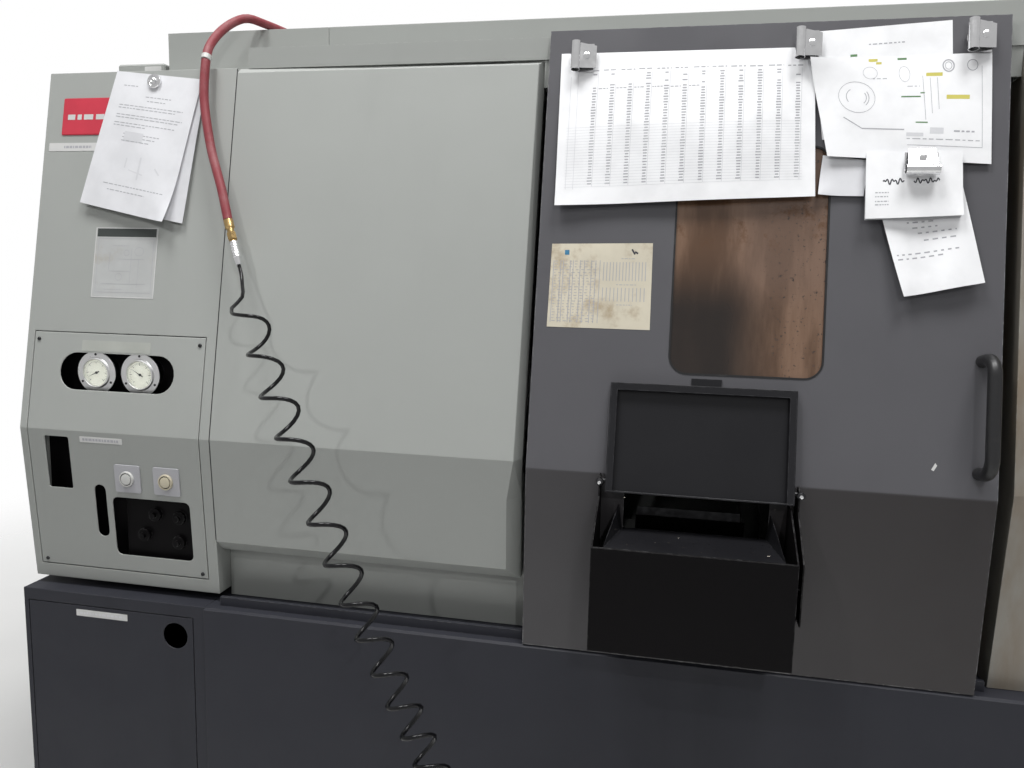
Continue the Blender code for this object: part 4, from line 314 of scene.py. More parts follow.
black_plastic = plastic("black_plastic", (0.014, 0.014, 0.015), 0.38, 0.06)
red_plastic = plastic("red_plastic", (0.5, 0.015, 0.018), 0.3, 0.05)
green_plastic = plastic("green_plastic", (0.02, 0.3, 0.07), 0.3, 0.05)
screen_glass = plastic("screen_glass", (0.01, 0.012, 0.016), 0.12, 0.02)


def red_rubber():
    """Air hose, faded and dusty, darker where it is handled."""
    s = Surface("faded_red_rubber", (0.3, 0.075, 0.08), 0.55)
    dust = s.span(s.noise(24, 5, 0.65), 0.4, 0.7)
    tone = s.mix(s.math("MULTIPLY", dust, 0.6), (0.25, 0.042, 0.052), (0.32, 0.13, 0.135))
    dark = s.span(s.noise(60, 4, 0.7, shift=(3, 1, 2)), 0.56, 0.74)
    tone = s.over(tone, (0.09, 0.035, 0.035), dark, 0.6)
    s.bump(s.noise(260, 3, 0.6), 0.35, 0.0006)
    return s.finish(tone, 0.55)


def coil_plastic():
    """Glossy tube, a little dull where it is dusty."""
    s = Surface("black_polyurethane", (0.008, 0.008, 0.009), 0.22)
    smear = s.noise(45, 4)
    tone = s.mix(s.span(smear, 0.5, 0.8), (0.005, 0.005, 0.006), (0.014, 0.014, 0.015))
    s.shader.inputs["Specular IOR Level"].default_value = 0.3
    return s.finish(tone, s.span(smear, 0.3, 0.7, 0.12, 0.26))


# Shapes


def mesh_of(name, bm):
    mesh = bpy.data.meshes.new(name)
    bm.to_mesh(mesh)
    bm.free()
    return mesh


def round_edges(obj, width, segments, angle):
    edge = obj.modifiers.new("edge", "BEVEL")
    edge.width = width
    edge.segments = segments
    edge.limit_method = "ANGLE"
    edge.angle_limit = math.radians(angle)
    return edge


def finish_mesh(name, bm, material, body, smooth=None, bevel=0.0, replaces=()):
    """An object of the mesh that rides on a body, with smooth faces or rounded edges where asked."""
    bmesh.ops.recalc_face_normals(bm, faces=bm.faces)
    mesh = mesh_of(name, bm)
    mesh.materials.append(material)
    if smooth:
        mesh.shade_smooth()
        mesh.set_sharp_from_angle(angle=math.radians(smooth))
    obj = linked(name, mesh)
    if bevel:
        round_edges(obj, bevel, 2, 35).harden_normals = True
        mesh.shade_smooth()
    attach(obj, body)
    if replaces:
        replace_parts(obj, *replaces)
    return obj


def band(bm, low, high):
    """Walls between two like rings of vertices."""
    for i in range(len(low)):
        bm.faces.new((low[i - 1], low[i], high[i], high[i - 1]))


def prism(bm, low, high):
    bm.faces.new(low)
    bm.faces.new(high[::-1])
    band(bm, low, high)


def rounded(x0, x1, z0, z1, radius, steps=5):
    points = []
    for cx, cz, start in (
        (x1 - radius, z1 - radius, 0),
        (x0 + radius, z1 - radius, 90),
        (x0 + radius, z0 + radius, 180),
        (x1 - radius, z0 + radius, 270),
    ):
        for i in range(steps + 1):
            angle = math.radians(start + 90 * i / steps)
            points.append((cx + radius * math.cos(angle), cz + radius * math.sin(angle)))
    return points


def slab(name, face, outline, thickness, material, lift=0.0003, bevel=0.0):
    """A plate of any outline, standing on a leaning face."""
    bm = bmesh.new()
    prism(bm, *[[bm.verts.new(face.at(x, z, out)) for x, z in outline] for out in (lift, lift + thickness)])
    return finish_mesh(name, bm, material, face.body, bevel=bevel)


def turned(bm, profile, base, axis, sides=48):
    """Turns a profile of (radius, distance along the axis) about an axis through the base."""
    turn = Vector(axis).normalized().to_track_quat("Z", "Y").to_matrix()
    base = Vector(base)
    rings = []
    for radius, distance in profile:
        angles = [2 * math.pi * i / sides for i in range(1 if radius == 0 else sides)]
        places = [Vector((radius * math.cos(a), radius * math.sin(a), distance)) for a in angles]
        rings.append([bm.verts.new(base + turn @ place) for place in places])
    for a, b in zip(rings, rings[1:]):
        for i in range(sides):
            j = (i + 1) % sides
            corners = [a[i % len(a)], b[i % len(b)], b[j % len(b)], a[j % len(a)]]
            unique = list(dict.fromkeys(corners))
            if len(unique) > 2:
                bm.faces.new(unique)


def round_piece(name, profile, base, axis, material, body, sides=48, replaces=()):
    bm = bmesh.new()
    turned(bm, profile, base, axis, sides)
    return finish_mesh(name, bm, material, body, smooth=32, replaces=replaces)


def soften(node, width=0.0015, segments=2):
    """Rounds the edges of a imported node, whose mesh stays as it is."""
    obj = NODES[node]
    weld = obj.modifiers.new("weld", "WELD")
    weld.merge_threshold = 0.00005
    round_edges(obj, width, segments, 50)
    flat = obj.modifiers.new("flat", "WEIGHTED_NORMAL")
    flat.weight = 100
    flat.keep_sharp = True


def wear(material, *nodes):
    for node in nodes:
        for slot in NODES[node].material_slots:
            slot.material = material


# Air hoses


RED_ROUTE = (
    (0.462, 0.5, 1.2), (0.458, 0.42, 1.1995), (0.44, 0.33, 1.1995), (0.42, 0.27, 1.201),
    (0.402, 0.235, 1.202), (0.388, 0.208, 1.189), (0.376, 0.175, 1.162), (0.372, 0.14, 1.127),
    (0.375, 0.117, 1.095), (0.377, 0.103, 1.04), (0.381, 0.096, 1.0000), (0.392, 0.086, 0.955),
    (0.407, 0.075, 0.905), (0.424, 0.064, 0.865), (0.441, 0.053, 0.825), (0.46, 0.04, 0.77),
)
FITTING_START = (0.4605, 0.0398, 0.769)
FITTING_END = (0.496, 0.015, 0.683)
COIL_ROUTE = (
    (0.4962, 0.0148, 0.6825), (0.5045, 0.0085, 0.664), (0.518, -0.012, 0.642), (0.538, -0.042, 0.621),
    (0.57, -0.085, 0.592), (0.61, -0.12, 0.554), (0.667, -0.18, 0.486), (0.724, -0.235, 0.43),
    (0.765, -0.27, 0.372), (0.798, -0.285, 0.32), (0.826, -0.29, 0.261), (0.854, -0.295, 0.203),
    (0.881, -0.3, 0.152), (0.906, -0.3, 0.099), (0.933, -0.3, 0.043), (0.96, -0.3, -0.01),
    (0.986, -0.3, -0.064), (1.03, -0.302, -0.16), (1.085, -0.304, -0.28), (1.14, -0.306, -0.4),
    (1.2, -0.308, -0.5), (1.27, -0.31, -0.58), (1.35, -0.312, -0.615), (1.44, -0.314, -0.621),
    (1.5, -0.316, -0.623), (1.545, -0.318, -0.638), (1.59, -0.32, -0.646),
)
RED_RADIUS = 0.0088
COIL_TUBE = 0.0034
COIL_TOP_RADIUS = 0.0255
COIL_LOW_RADIUS = 0.0225
COIL_PITCH = 0.06
LEAD = 0.075
RAMP = 0.048
POINTS_PER_TURN = 20
# Rows of the picture where the turns pass the coil's left side, and where the coil has left the view
TURN_ROWS = (310, 351, 392, 433, 475, 517, 558, 597, 632, 667, 700, 730, 758)
LEAD_ROWS = 60
TAPER_ROWS = 400
LAST_ROW = 900


def smooth_route(points, spacing):
    """Points a set distance apart on a smooth curve through the route's own points."""
    pts = [Vector(p) for p in points]
    dense = []
    for i in range(len(pts) - 1):
        before = pts[i - 1] if i else pts[0] * 2 - pts[1]
        after = pts[i + 2] if i + 2 < len(pts) else pts[-1] * 2 - pts[-2]
        a, b = pts[i], pts[i + 1]
        for k in range(24):
            t = k / 24
            place = 2 * a + (b - before) * t + (2 * before - 5 * a + 4 * b - after) * t**2
            place += (3 * a - before - 3 * b + after) * t**3
            dense.append(0.5 * place)
    dense.append(pts[-1])
    total = sum((b - a).length for a, b in zip(dense, dense[1:]))
    count = max(2, round(total / spacing))
    step = total / count
    route = [dense[0]]
    walked, target = 0.0, step
    for a, b in zip(dense, dense[1:]):
        length = (b - a).length
        while len(route) < count and walked + length >= target:
            route.append(a.lerp(b, (target - walked) / length))
            target += step
        walked += length
    route.append(dense[-1])
    return route


def length_of(points):
    return sum((b - a).length for a, b in zip(points, points[1:]))


def hose(name, points, radius, material, body="machine"):
    curve = bpy.data.curves.new(name, "CURVE")
    curve.dimensions = "3D"
    curve.bevel_depth = radius
    curve.bevel_resolution = 5
    curve.use_fill_caps = True
    spline = curve.splines.new("POLY")
    spline.points.add(len(points) - 1)
    for point, place in zip(spline.points, points):
        point.co = (*place, 1)
    spline.use_smooth = True
    curve.materials.append(material)
    obj = linked(name, curve)
    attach(obj, body)
    return obj


def picture_row(place):
    ray = place - camera.matrix_world.translation
    return MIDDLE_ROW - FOCAL_PIXELS * ray.dot(up) / ray.dot(forward)


def coil_points():
    """The helix: it turns round the route, one turn between each pair of rows, and ends in the middle."""
    line = smooth_route([at(*p) for p in COIL_ROUTE], 0.002)
    total = length_of(line)
    points = [line[0]]
    walked = angle = taken = 0.0
    for i in range(1, len(line)):
        step = line[i] - line[i - 1]
        walked += step.length
        rise = max(0.0, min(1.0, (walked - LEAD) / RAMP, (total - LEAD - walked) / RAMP))
        rise = rise * rise * (3 - 2 * rise)
        row = picture_row(line[i])
        before = angle
        if row < TURN_ROWS[0]:
            angle = math.pi * (1 + (row - TURN_ROWS[0]) / LEAD_ROWS)
        elif row < TURN_ROWS[-1]:
            k = max(n for n, r in enumerate(TURN_ROWS) if r <= row)
            part = (row - TURN_ROWS[k]) / (TURN_ROWS[k + 1] - TURN_ROWS[k])
            angle = math.pi * (1 + 2 * (k + part))
        else:
            angle += step.length / COIL_PITCH * 2 * math.pi
        # Near strands of a turn lie a little above the far ones, less and less so further down
        low = max(0.0, min(1.0, (row - TURN_ROWS[0]) / TAPER_ROWS))
        along = step.normalized()
        if row < LAST_ROW:
            away = (line[i] - camera.matrix_world.translation).normalized()
            down = (along - away * along.dot(away)).normalized()
            side = down.cross(away)
            side = side if side.dot(right) > 0 else -side
            tilt = math.radians(-20 + 18 * low)
            other = away * math.cos(tilt) - down * math.sin(tilt)
        else:
            side = (side - along * side.dot(along)).normalized()
            other = side.cross(along)
        radius = rise * (COIL_TOP_RADIUS * (1 - low) + COIL_LOW_RADIUS * low)
        taken += abs(angle - before) / (2 * math.pi) * POINTS_PER_TURN + step.length / 0.05
        if taken >= 1 or i == len(line) - 1:
            taken = 0
            middle = line[i] - right * 0.0045 * low * rise
            points.append(middle + (side * math.cos(angle) + other * math.sin(angle)) * radius)
    return points


def make_hoses():
    points = smooth_route([at(*p) for p in RED_ROUTE], 0.012)
    red = hose("air_hose", points, RED_RADIUS, red_rubber())
    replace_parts(red, "red_hose")
    make_fittings()
    points = coil_points()
    coil = hose("curly_hose", points, COIL_TUBE, coil_plastic())
    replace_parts(coil, "coil_hose")
    # A pale tie holds the red hose to the column's top edge
    bm = bmesh.new()
    profile = [(0.0086, -0.006), (0.0102, -0.005), (0.0102, 0.005), (0.0086, 0.006)]
    turned(bm, profile, at(0.3752, 0.116, 1.092), (-0.02, 0.5, 1), 24)
    finish_mesh("hose_tie", bm, white_plastic, "machine", smooth=40)


def make_fittings():
    """Brass hose tail, hexagon nuts and a chrome ferrule, in line."""
    start, end = at(*FITTING_START), at(*FITTING_END)
    axis = (end - start).normalized()
    length = (end - start).length
    bm = bmesh.new()
    for profile, sides in (
        ([(0, 0.0004), (0.0092, 0.0004), (0.0092, 0.016), (0.0078, 0.018), (0.0066, 0.019), (0, 0.019)], 32),
        ([(0, 0.018), (0.0066, 0.018), (0.0066, 0.028), (0, 0.028)], 24),
        ([(0, 0.027), (0.0082, 0.027), (0.0092, 0.0285), (0.0092, 0.041), (0.0082, 0.0425), (0, 0.0425)], 6),
        ([(0, 0.042), (0.0058, 0.042), (0.0058, 0.048), (0, 0.048)], 24),
    ):
        turned(bm, profile, start, axis, sides)
    nuts = finish_mesh("hose_nuts", bm, brass, "machine", smooth=30, replaces=("hose_fitting",))
    bm = bmesh.new()
    ribs = [(0, 0.047), (0.0072, 0.047)]
    for i in range(6):
        d = 0.049 + i * 0.0055
        ribs += [(0.008, d), (0.008, d + 0.003), (0.0072, d + 0.004)]
    tip = length - 0.0004
    ribs += [(0.007, length - 0.014), (0.0056, length - 0.004), (0.0052, tip), (0, tip)]
    turned(bm, ribs, start, axis, 32)
    ferrule = finish_mesh("hose_ferrule", bm, chrome, "machine", smooth=30)
    return [nuts, ferrule]


make_hoses()


# Enclosure


wear(
    light_paint,
    "back_cover", "doorway_header", "left_end_cover", "roof_cover", "terminal_box", "upper_cover_left",
    "upper_cover_right", "door_rail",
)
wear(front_paint, "centre_cover", "gauge_panel", "left_column_cover", "lower_guard")
wear(oily_paint, "chip_tray", "headstock_wall")
wear(dark_paint, "operator_panel")
wear(door_paint, "front_door")
wear(right_paint, "right_cover")
wear(base_paint, "machine_base", "coolant_cabinet", "cabinet_door", "door_guide")
wear(shaded_black_paint, "catcher_box", "gauge_back_plate", "valve_block")
wear(black_paint, "catcher_lid", "catcher_chute")
wear(
    steel,
    "spindle", "chuck_body", "blow_gun_trigger",
    *[f"chuck_jaw_{i}" for i in (1, 2, 3)],
    *[f"levelling_foot_{i}" for i in (1, 2, 3, 4)],
)
wear(oily_steel, "turret_disc")
wear(dark_steel, "turning_tool", "drill_holder", "parts_catcher_arm")
wear(casting, "slant_bed", "headstock", "carriage", "cross_slide")
wear(black_plastic, "blow_gun", "mode_knob", "pulse_handwheel")
wear(red_plastic, "emergency_stop", "feed_hold")
wear(green_plastic, "cycle_start")
wear(screen_glass, "control_screen")
soften("front_door", 0.003, 4)
for node in (
    "left_column_cover", "centre_cover", "gauge_panel", "machine_base", "coolant_cabinet", "catcher_box",
    "catcher_lid", "cabinet_door", "right_cover", "upper_cover_left", "upper_cover_right", "lower_guard",
    "terminal_box", "operator_panel", "roof_cover", "doorway_header",
):
    soften(node, 0.0014)


def window_glass():
    """Polycarbonate stained brown, with rust at the top, a dark foot and dried drops on the right."""
    s = Surface("stained_pane", (0.16, 0.09, 0.05), 0.22)
    x, z = s.axis("X"), s.axis("Z")
    left = COLUMN_LEFT + 1.309
    low = LEDGE_Z + 0.515
    across = s.span(x, left, left + 0.252)
    height = s.span(z, low, low + 0.3)
    column = s.noise(9, 5, 0.6, stretch=(1.6, 1, 0.22))
    tone = s.mix(s.span(column, 0.38, 0.62), (0.1, 0.054, 0.031), (0.215, 0.13, 0.085))
    # Painted light: the pane is lighter towards its upper right
    light = s.math("MULTIPLY", s.span(across, 0.15, 0.6), s.span(height, 0.1, 0.7))
    tone = s.over(tone, (0.185, 0.125, 0.098), light, 0.45)
    clear = s.math("ADD", s.span(across, 0.25, 0.95), s.span(height, 0.25, 0.85), clamp=True)
    dark = s.math("SUBTRACT", 1.0, clear)
    tone = s.over(tone, (0.01, 0.007, 0.006), dark, 0.95)
    rust = s.math("MULTIPLY", s.span(s.noise(26, 6, 0.7), 0.5, 0.66), s.span(height, 0.7, 1.0))
    tone = s.over(tone, (0.1, 0.042, 0.014), rust, 0.8)
    drops = s.math("MULTIPLY", s.span(s.noise(170, 3, 0.7), 0.6, 0.68), s.span(across, 0.55, 0.85))
    tone = s.mix(drops, tone, (0.022, 0.014, 0.011))
    s.bump(s.noise(70, 3), 0.12, 0.0006)
    s.shader.inputs["Coat Weight"].default_value = 0.2
    s.shader.inputs["Coat Roughness"].default_value = 0.12
    return s.finish(tone, s.span(drops, 0, 1, 0.18, 0.5))


wear(window_glass(), "door_window")


def finish_gasket():
    """A thin dark seal round the window's edge."""
    outer = rounded(1.3075, 1.5625, 0.5135, 0.9065, 0.0315, 8)
    inner = rounded(1.3105, 1.5595, 0.5165, 0.9035, 0.0285, 8)
    bm = bmesh.new()
    rings = [
        [bm.verts.new(DOOR_UP.at(x, z, lift)) for x, z in outline]
        for outline, lift in ((outer, 0.0002), (outer, 0.0008), (inner, 0.0008), (inner, -0.0022))
    ]
    for a, b in zip(rings, rings[1:] + rings[:1]):
        band(bm, a, b)
    finish_mesh("window_seal", bm, black_plastic, "door", smooth=40)


finish_gasket()


# Gauges, knobs and panel details


def dial_material():
    s = Surface("dial_card", (0.86, 0.84, 0.76), 0.5)
    return s.finish(s.mix(s.noise(60, 3), (0.82, 0.79, 0.7), (0.9, 0.89, 0.82)), 0.5)


def clear_glass():
    s = Surface("gauge_glass", (0.9, 0.92, 0.9), 0.05)
    s.shader.inputs["Transmission Weight"].default_value = 1.0
    s.shader.inputs["IOR"].default_value = 1.3
    return s.finish(None, s.span(s.noise(40, 4), 0.4, 0.8, 0.05, 0.23))


dial = dial_material()
lens = clear_glass()
BACK_PLATE_SETBACK = 0.056
SEAT_Y = KNEE_Y + BACK_PLATE_SETBACK - 0.0003


def dial_ways(degrees):
    """The ways out from a dial's centre and across that."""
    angle = math.radians(degrees)
    return Vector((math.cos(angle), 0, math.sin(angle))), Vector((-math.sin(angle), 0, math.cos(angle)))


def dial_plate(bm, outline, thickness):
    """A small plate on a dial, from its outline towards the front."""
    front = Vector((0, thickness, 0))
    prism(bm, [bm.verts.new(c) for c in outline], [bm.verts.new(c - front) for c in outline])


def make_gauge(side, x, needle_angle):
    centre = Vector((COLUMN_LEFT + x, SEAT_Y, LEDGE_Z + 0.459))
    out = (0, -1, 0)
    case = [
        (0, -0.03), (0.0265, -0.03), (0.0265, 0), (0.0315, 0), (0.0315, 0.02), (0.0434, 0.02),
        (0.0438, 0.0204), (0.0438, 0.0214), (0.0432, 0.022), (0.0322, 0.0222), (0.0315, 0.023),
        (0.0308, 0.0258), (0.0298, 0.0265), (0.0286, 0.0262), (0.0278, 0.0245), (0.0276, 0.0206), (0, 0.0206),
    ]
    card = [(0, 0.0208), (0.0274, 0.0208), (0.0274, 0.0213), (0, 0.0213)]
    glass = [(0, 0.0248), (0.0276, 0.0246), (0.0276, 0.0254), (0, 0.0257)]
    replaced = (f"pressure_gauge_{side}",)
    round_piece(f"gauge_case_{side}", case, centre, out, gauge_metal, "machine", 64, replaced)
    round_piece(f"gauge_dial_{side}", card, centre, out, dial, "machine")
    round_piece(f"gauge_lens_{side}", glass, centre, out, lens, "machine")
    bm = bmesh.new()
    for i in range(31):
        way, across = dial_ways(225 - 270 * i / 30)
        inner, half = (0.019, 0.0005) if i % 5 == 0 else (0.0215, 0.00025)
        low = centre + Vector((0, -0.0215, 0))
        corners = ((inner, half), (0.024, half), (0.024, -half), (inner, -half))
        dial_plate(bm, [low + way * long + across * wide for long, wide in corners], 0.00015)
    finish_mesh(f"gauge_marks_{side}", bm, black_plastic, "machine")
    way, across = dial_ways(needle_angle)
    bm = bmesh.new()
    low = centre + Vector((0, -0.0222, 0))
    tail = low - way * 0.007
    dial_plate(bm, [tail + across * 0.0012, low + way * 0.021, tail - across * 0.0012], 0.0004)
    turned(bm, [(0, 0.0214), (0.0026, 0.0214), (0.0026, 0.0232), (0, 0.0232)], centre, out, 20)
    finish_mesh(f"gauge_needle_{side}", bm, black_plastic, "machine", smooth=30)
    # Three small screws hold the flange
    for k in range(3):
        spot = centre + dial_ways(90 + 120 * k)[0] * 0.0378 + Vector((0, -0.0221, 0))
        screw(f"gauge_screw_{side}_{k}", spot, out, 0.0024)


def screw(name, place, out, radius):
    """A dark pan head with a cross recess."""
    height = radius * 0.7
    bm = bmesh.new()
    profile = [
        (0, 0), (radius, 0), (radius, height * 0.35), (radius * 0.82, height * 0.8), (radius * 0.45, height),
        (0, height),
    ]
    turned(bm, profile, place, out, 20)
    head = finish_mesh(name, bm, dark_steel, "machine", smooth=50)
    turn = Vector(out).normalized().to_track_quat("Z", "Y").to_matrix().to_4x4()
    long, wide, deep = radius * 1.1, radius * 0.22, height * 0.7
    bm = bmesh.new()
    for size in ((long, wide, deep, 1), (wide, long, deep, 1)):
        bmesh.ops.create_cube(bm, size=1, matrix=Matrix.Translation((0, 0, height)) @ Matrix.Diagonal(size))
    bm.transform(Matrix.Translation(place) @ turn)
    cutter = linked(name + "_cut", mesh_of(name + "_cut", bm))
    cut = head.modifiers.new("recess", "BOOLEAN")
    cut.object = cutter
    cut.operation = "DIFFERENCE"
    cut.solver = "EXACT"
    # The two bars of the cross overlap
    cut.use_self = True
    graph = bpy.context.evaluated_depsgraph_get()
    done = bpy.data.meshes.new_from_object(head.evaluated_get(graph))
    head.modifiers.clear()
    head.data = done
    bpy.data.objects.remove(cutter)


gauge_metal = metal("satin_bezel", (0.84, 0.84, 0.84), 0.34, tarnish=0.1)
make_gauge("left", 0.1595, 205)
make_gauge("right", 0.26, 150)

for i, (x, z) in enumerate(((0.029, 0.524), (0.032, 0.057), (0.397, 0.524), (0.397, 0.057))):
    face = COLUMN_UP if z > KNEE else COLUMN_LOW
    screw(f"panel_screw_{i}", face.at(x, z, 0.0002), face.out, 0.004)


def make_knob(side, x, cap_material):
    """A flat round cap on a square plate, with a groove round its middle that holds a black ring as painted
    shade.
    """
    body = f"{side}_knob"
    face = COLUMN_LOW
    outline = rounded(x - 0.029, x + 0.029, 0.22, 0.278, 0.004, 3)
    slab(f"knob_plate_{side}", face, outline, 0.003, plate_plastic, bevel=0.0006)
    base = face.at(x, 0.249)
    profile = [
        (0, -0.055), (0.0053, -0.055), (0.0053, 0.0036), (0.0152, 0.0036), (0.016, 0.0044), (0.016, 0.0068),
        (0.0152, 0.0082), (0.0132, 0.0086), (0.0128, 0.0058), (0.0112, 0.0058), (0.0108, 0.0086),
        (0.0095, 0.009), (0, 0.009),
    ]
    replaced = (f"pressure_knob_{side}",)
    round_piece(f"knob_cap_{side}", profile, base, (0, -1, 0), cap_material, body, 56, replaced)
    # A black ring in the groove is painted shade
    ring = [(0.0113, 0.0059), (0.0127, 0.0059), (0.0127, 0.0066), (0.0113, 0.0066), (0.0113, 0.0059)]
    round_piece(f"knob_groove_shade_{side}", ring, base, (0, -1, 0), black_plastic, body, 56)


make_knob("left", 0.244, white_plastic)
make_knob("right", 0.332, cream_plastic)


def card(name, colour, stain=None, amount=0.3):
    """Paper or printed card, a little uneven, with stains where it is old."""
    s = Surface(name, colour, 0.55)
    tone = s.mix(s.span(s.noise(14, 5), 0.35, 0.7), shade(colour, 1.03), shade(colour, 0.93))
    if stain:
        spots = s.span(s.noise(16, 6, 0.65, shift=(1, 5, 2)), 0.5, 0.72)
        tone = s.over(tone, stain, spots, amount)
    s.bump(s.noise(240, 3), 0.08, 0.0003)
    return s.finish(tone, 0.55)


white_paper = card("white_paper", (0.92, 0.925, 0.94))
letter_paper = card("letter_paper", (0.78, 0.785, 0.81))
# Paper greyed as painted shade, for sheets lying under others and for the curled flap; the same grey serves
# for printed rules and marks
grey_print_and_shade_paper = card("shaded_paper", (0.7, 0.705, 0.73))
pale_label = card("pale_label", (0.44, 0.455, 0.42))
white_label = card("white_label", (0.66, 0.66, 0.65))
oil_card = card("oil_card", (0.5, 0.51, 0.505), (0.4, 0.36, 0.29), 0.5)
red_label = card("red_label", (0.6, 0.045, 0.075))
dark_label = card("dark_label", (0.045, 0.052, 0.05))
aged_card = card("aged_card", (0.66, 0.61, 0.49), (0.28, 0.18, 0.08), 0.6)
ink = card("pale_ink", (0.43, 0.43, 0.46))
dark_ink = card("dark_ink", (0.045, 0.045, 0.055))
green_ink = card("green_ink", (0.12, 0.25, 0.11))
yellow_ink = card("yellow_ink", (0.66, 0.6, 0.14))
blue_ink = card("blue_ink", (0.05, 0.2, 0.34))


class Paper:
    """A thin sheet that hangs off a leaning face; u runs right and v down from its top left corner."""

    def __init__(self, name, face, corners, lifts, material, bulge=0.0, wave=0.0, curls=(), steps=20):
        self.name, self.face, self.corners, self.lifts = name, face, corners, lifts
        self.bulge, self.wave, self.curls = bulge, wave, curls
        bm = bmesh.new()
        layers = [
            [
                [bm.verts.new(self.point(c / steps, r / steps, out)) for c in range(steps + 1)]
                for r in range(steps + 1)
            ]
            for out in (0.0, 0.0003)
        ]
        for layer in layers:
            for r in range(steps):
                for c in range(steps):
                    bm.faces.new((layer[r][c], layer[r][c + 1], layer[r + 1][c + 1], layer[r + 1][c]))
        rims = [
            layer[0] + [row[-1] for row in layer[1:]] + layer[-1][-2::-1] + [row[0] for row in layer[-2:0:-1]]
            for layer in layers
        ]
        band(bm, *rims)
        finish_mesh(name, bm, material, face.body, smooth=60)

    def point(self, u, v, out=0.0):
        (x0, z0), (x1, z1), (x2, z2), (x3, z3) = self.corners
        x = (x0 * (1 - u) + x1 * u) * (1 - v) + (x3 * (1 - u) + x2 * u) * v
        z = (z0 * (1 - u) + z1 * u) * (1 - v) + (z3 * (1 - u) + z2 * u) * v
        a, b, c, d = self.lifts
        lift = (a * (1 - u) + b * u) * (1 - v) + (d * (1 - u) + c * u) * v
        lift += self.bulge * math.sin(math.pi * u) * math.sin(math.pi * v)
        lift += self.wave * (1 + math.sin(8.0 * u + 3.0 * v)) * v
        for cu, cv, size, height in self.curls:
            near = max(0.0, 1 - math.hypot(u - cu, v - cv) / size)
            lift += height * near * near
        return self.face.at(x, z, lift + out)

    def draw(self, name, material, lines):
        """Lines in print or pen; each is its width and the (u, v) points that it goes through."""
        bm = bmesh.new()
        for width, *points in lines:
            places = []
            for (u0, v0), (u1, v1) in zip(points, points[1:]):
                far = (self.point(u1, v1) - self.point(u0, v0)).length
                steps = max(1, round(far / 0.01))
                for i in range(steps):
                    places.append(self.point(u0 + (u1 - u0) * i / steps, v0 + (v1 - v0) * i / steps, 0.0005))
            places.append(self.point(*points[-1], 0.0005))
            sides = []
            for i, place in enumerate(places):
                along = places[min(i + 1, len(places) - 1)] - places[max(i - 1, 0)]
                across = along.cross(self.face.out).normalized() * width / 2
                sides.append((bm.verts.new(place - across), bm.verts.new(place + across)))
            for a, b in zip(sides, sides[1:]):
                bm.faces.new((a[0], a[1], b[1], b[0]))
        finish_mesh(f"{self.name}_{name}", bm, material, self.face.body)


def writing(chance, u0, u1, v, width=0.0012, word=0.03, gap=0.35):
    """One row of short dashes of uneven length, like a row of small print."""
    lines = []
    u = u0
    while u < u1:
        end = min(u1, u + word * chance.uniform(0.4, 1.2))
        lines.append((width, (u, v), (end, v)))
        u = end + word * gap
    return lines


def ring(u, v, ru, rv, width=0.0008, start=0, sweep=360):
    turns = [math.radians(start + sweep * i / 24) for i in range(25)]
    return (width, *[(u + ru * math.cos(t), v + rv * math.sin(t)) for t in turns])


